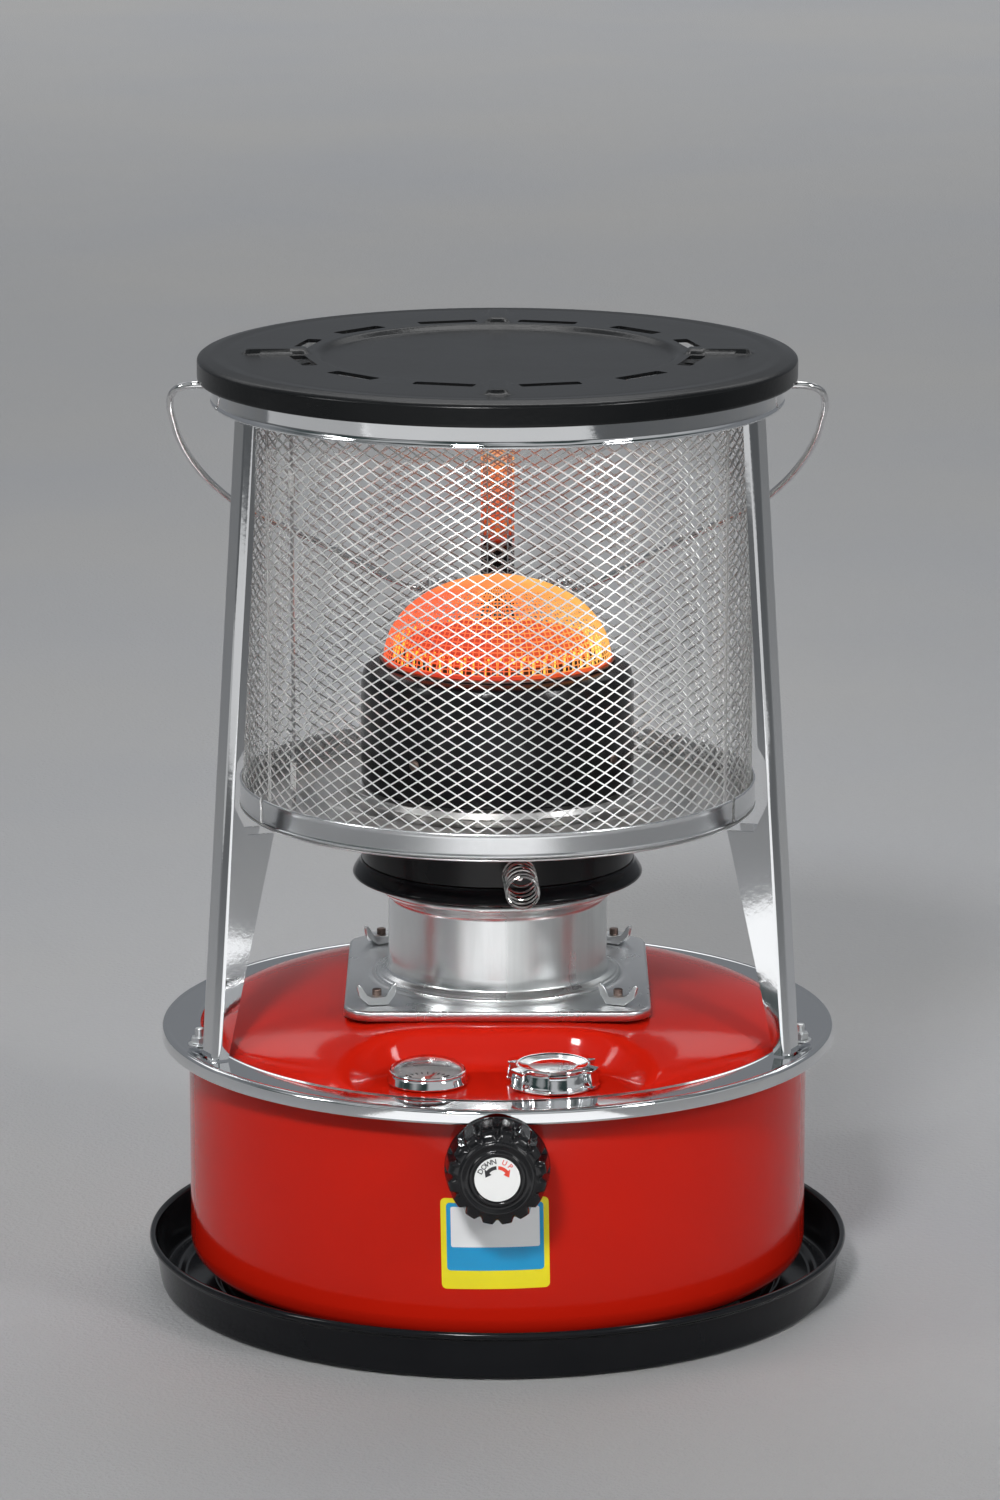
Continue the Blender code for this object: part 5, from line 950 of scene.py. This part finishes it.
for vert in lid.verts:
    if 0.0790 < vert.co.xy.length < 0.1240 and vert.co.z > 0.4355:
        along, aside = max(abs(vert.co.x), abs(vert.co.y)), min(abs(vert.co.x), abs(vert.co.y))
        away = math.hypot(max(abs(along - BAR_MIDDLE) - BAR_HALF_LENGTH, 0), max(aside - BAR_HALF_WIDTH, 0))
        vert.co.z += BAR_RISE * eased(1 - away / BAR_SLOPE)
openings = bmesh.new()
for k in range(12):
    block(openings, rotated(15 + 30 * k, "Z") @ shifted(0, -0.0905, 0.4368), 0.0278, 0.0070, 0.0080)
upright = [edge for edge in openings.edges if abs(edge.verts[0].co.z - edge.verts[1].co.z) > 0.005]
bevel(openings, upright, 0.0012, 3)
put(carve(lid, openings), "cooking_lid", "frame", plate_black, ["top_plate"], sharp=32)

# Legs: three plated steel channels with folded corners. Each is bolted to the seam ring by a tab,
# widens under the guard to carry its floor, is cut back to let the band past, and ends under the hoop.

LEG_FOOT_Z = 0.1249


def leg_face(height):
    # How far the leaning face of a leg is from the stove's axis at this height
    return 0.1490 - 0.0192 * (height - LEG_FOOT_Z) / 0.2908


LEG_LEVELS = (
    (LEG_FOOT_Z, 0.0070), (0.2278, leg_face(0.2278) - 0.1180), (0.2283, leg_face(0.2283) - 0.1310),
    (0.2420, 0.0036), (0.2620, 0.0036), (0.2680, 0.0070), (0.4157, 0.0058))  # height, depth of the channel
for name, node_name, turn, side in (
        ("left_leg_channel", "leg_left", -62.5, -1), ("right_leg_channel", "leg_right", 65.5, 1),
        ("rear_leg_channel", "leg_rear", 180, 1)):
    channel = bmesh.new()
    row, ring_edges = [], []
    for height, depth in LEG_LEVELS:
        section = [(-0.0080, depth), (-0.0080, 0.0027), (-0.0053, 0), (0.0053, 0), (0.0080, 0.0027),
                   (0.0080, depth)]
        if row:
            ends, ring_edges = extruded(channel, ring_edges)
            before = {
                vert: next(other for edge in vert.link_edges if (other := edge.other_vert(vert)) not in ends)
                for vert in ends}
            row = [next(vert for vert in ends if before[vert] is old) for old in row]
        else:
            row = [channel.verts.new((x, y, 0)) for x, y in section]
            ring_edges = [channel.edges.new(pair) for pair in zip(row, row[1:])]
        for vert, (x, y) in zip(row, section):
            vert.co = Vector((x, y - leg_face(height), height))
    face_out(channel)
    if sum(face.normal.dot(Vector((face.calc_center_median().x * 3, -1, 0))) for face in channel.faces) < 0:
        bmesh.ops.reverse_faces(channel, faces=channel.faces)
    bevel(channel, [edge for edge in channel.edges if edge.calc_face_angle(0) > 0.5], 0.0009, 4)
    bmesh.ops.dissolve_degenerate(channel, edges=channel.edges, dist=2e-6)
    channel.normal_update()
    thicken(channel, 0.0010)
    block(channel, shifted(side * 0.0148, -0.1450, 0.1254), 0.0140, 0.0060, 0.0010)
    about = rotated(turn, "Z")
    put(channel, name, "frame", plated, [node_name], tilt=about, sharp=30)
    bolt = turned([(0, 0), (2, 0), (2, 7.8, 0.4), (0, 8)], steps=24)
    washer = turned([(2.1, 0), (5.2, 0, 0.1), (5.2, 0.7, 0.1), (2.1, 0.7)], steps=32)
    washer_mesh = meshed(washer, "washer")
    bolt.from_mesh(washer_mesh)
    bpy.data.meshes.remove(washer_mesh)
    hexagon = cone(bolt, 6, 0.0041, 0.0041, 0.0030, shifted(0, 0, 0.0023))
    sides = list({edge for vert in hexagon["verts"] for edge in vert.link_edges})
    bevel(bolt, sides, 0.0003, 2)
    bolt_name = node_name.replace("leg", "bolt")
    put(bolt, bolt_name + "_stud", "frame", zinc, [bolt_name],
        tilt=about @ shifted(side * 0.0164, -0.1450, 0.1262), sharp=30)

# Carrying handle: a bright steel wire bent to a wide loop, hooked through the hoop at both sides,
# with a close winding of thinner wire round its middle as a grip.

REST = shifted(0, 0, 0.4226) @ rotated(-40.72, "X")
HOOK_END = 0.1262
HALF_WIDTH = 0.1496
ARM_LENGTH = 0.1898
ARM_SHARES = (
    (0.885, 0.0), (0.947, 0.003), (0.982, 0.024), (1.0, 0.072), (0.996, 0.163), (0.978, 0.268),
    (0.935, 0.388), (0.881, 0.486), (0.822, 0.562), (0.713, 0.654), (0.580, 0.753), (0.445, 0.863),
    (0.330, 0.956), (0.255, 0.995))  # shares of the half width and the arm's length along one side
loop = bpy.data.curves.new("loop", "CURVE")
loop.dimensions, loop.bevel_depth, loop.bevel_resolution = "3D", 0.00175, 4
loop.use_fill_caps, loop.resolution_u = True, 5
half = [(HOOK_END, 0.0)] + [(HALF_WIDTH * wide, ARM_LENGTH * far) for wide, far in ARM_SHARES]
route = half + [(0.0, ARM_LENGTH)] + [(-x, y) for x, y in reversed(half)]
spline = loop.splines.new("BEZIER")
spline.bezier_points.add(len(route) - 1)
for point, (x, y) in zip(spline.bezier_points, route):
    point.co = (x, y, 0)
    point.handle_left_type = point.handle_right_type = "AUTO"
put(bent(loop, REST), "handle_wire", "handle", wire_steel, ["bail"])
GRIP_LENGTH = 0.0770
winding = coil(27, 0.0053, GRIP_LENGTH, 0.00072, start_radius=0.0026, end_radius=0.0026)
grip = bent(winding, REST @ shifted(-GRIP_LENGTH / 2, ARM_LENGTH, 0) @ rotated(90, "Y"))
put(grip, "handle_grip", "handle", wire_steel, ["bail_grip"])
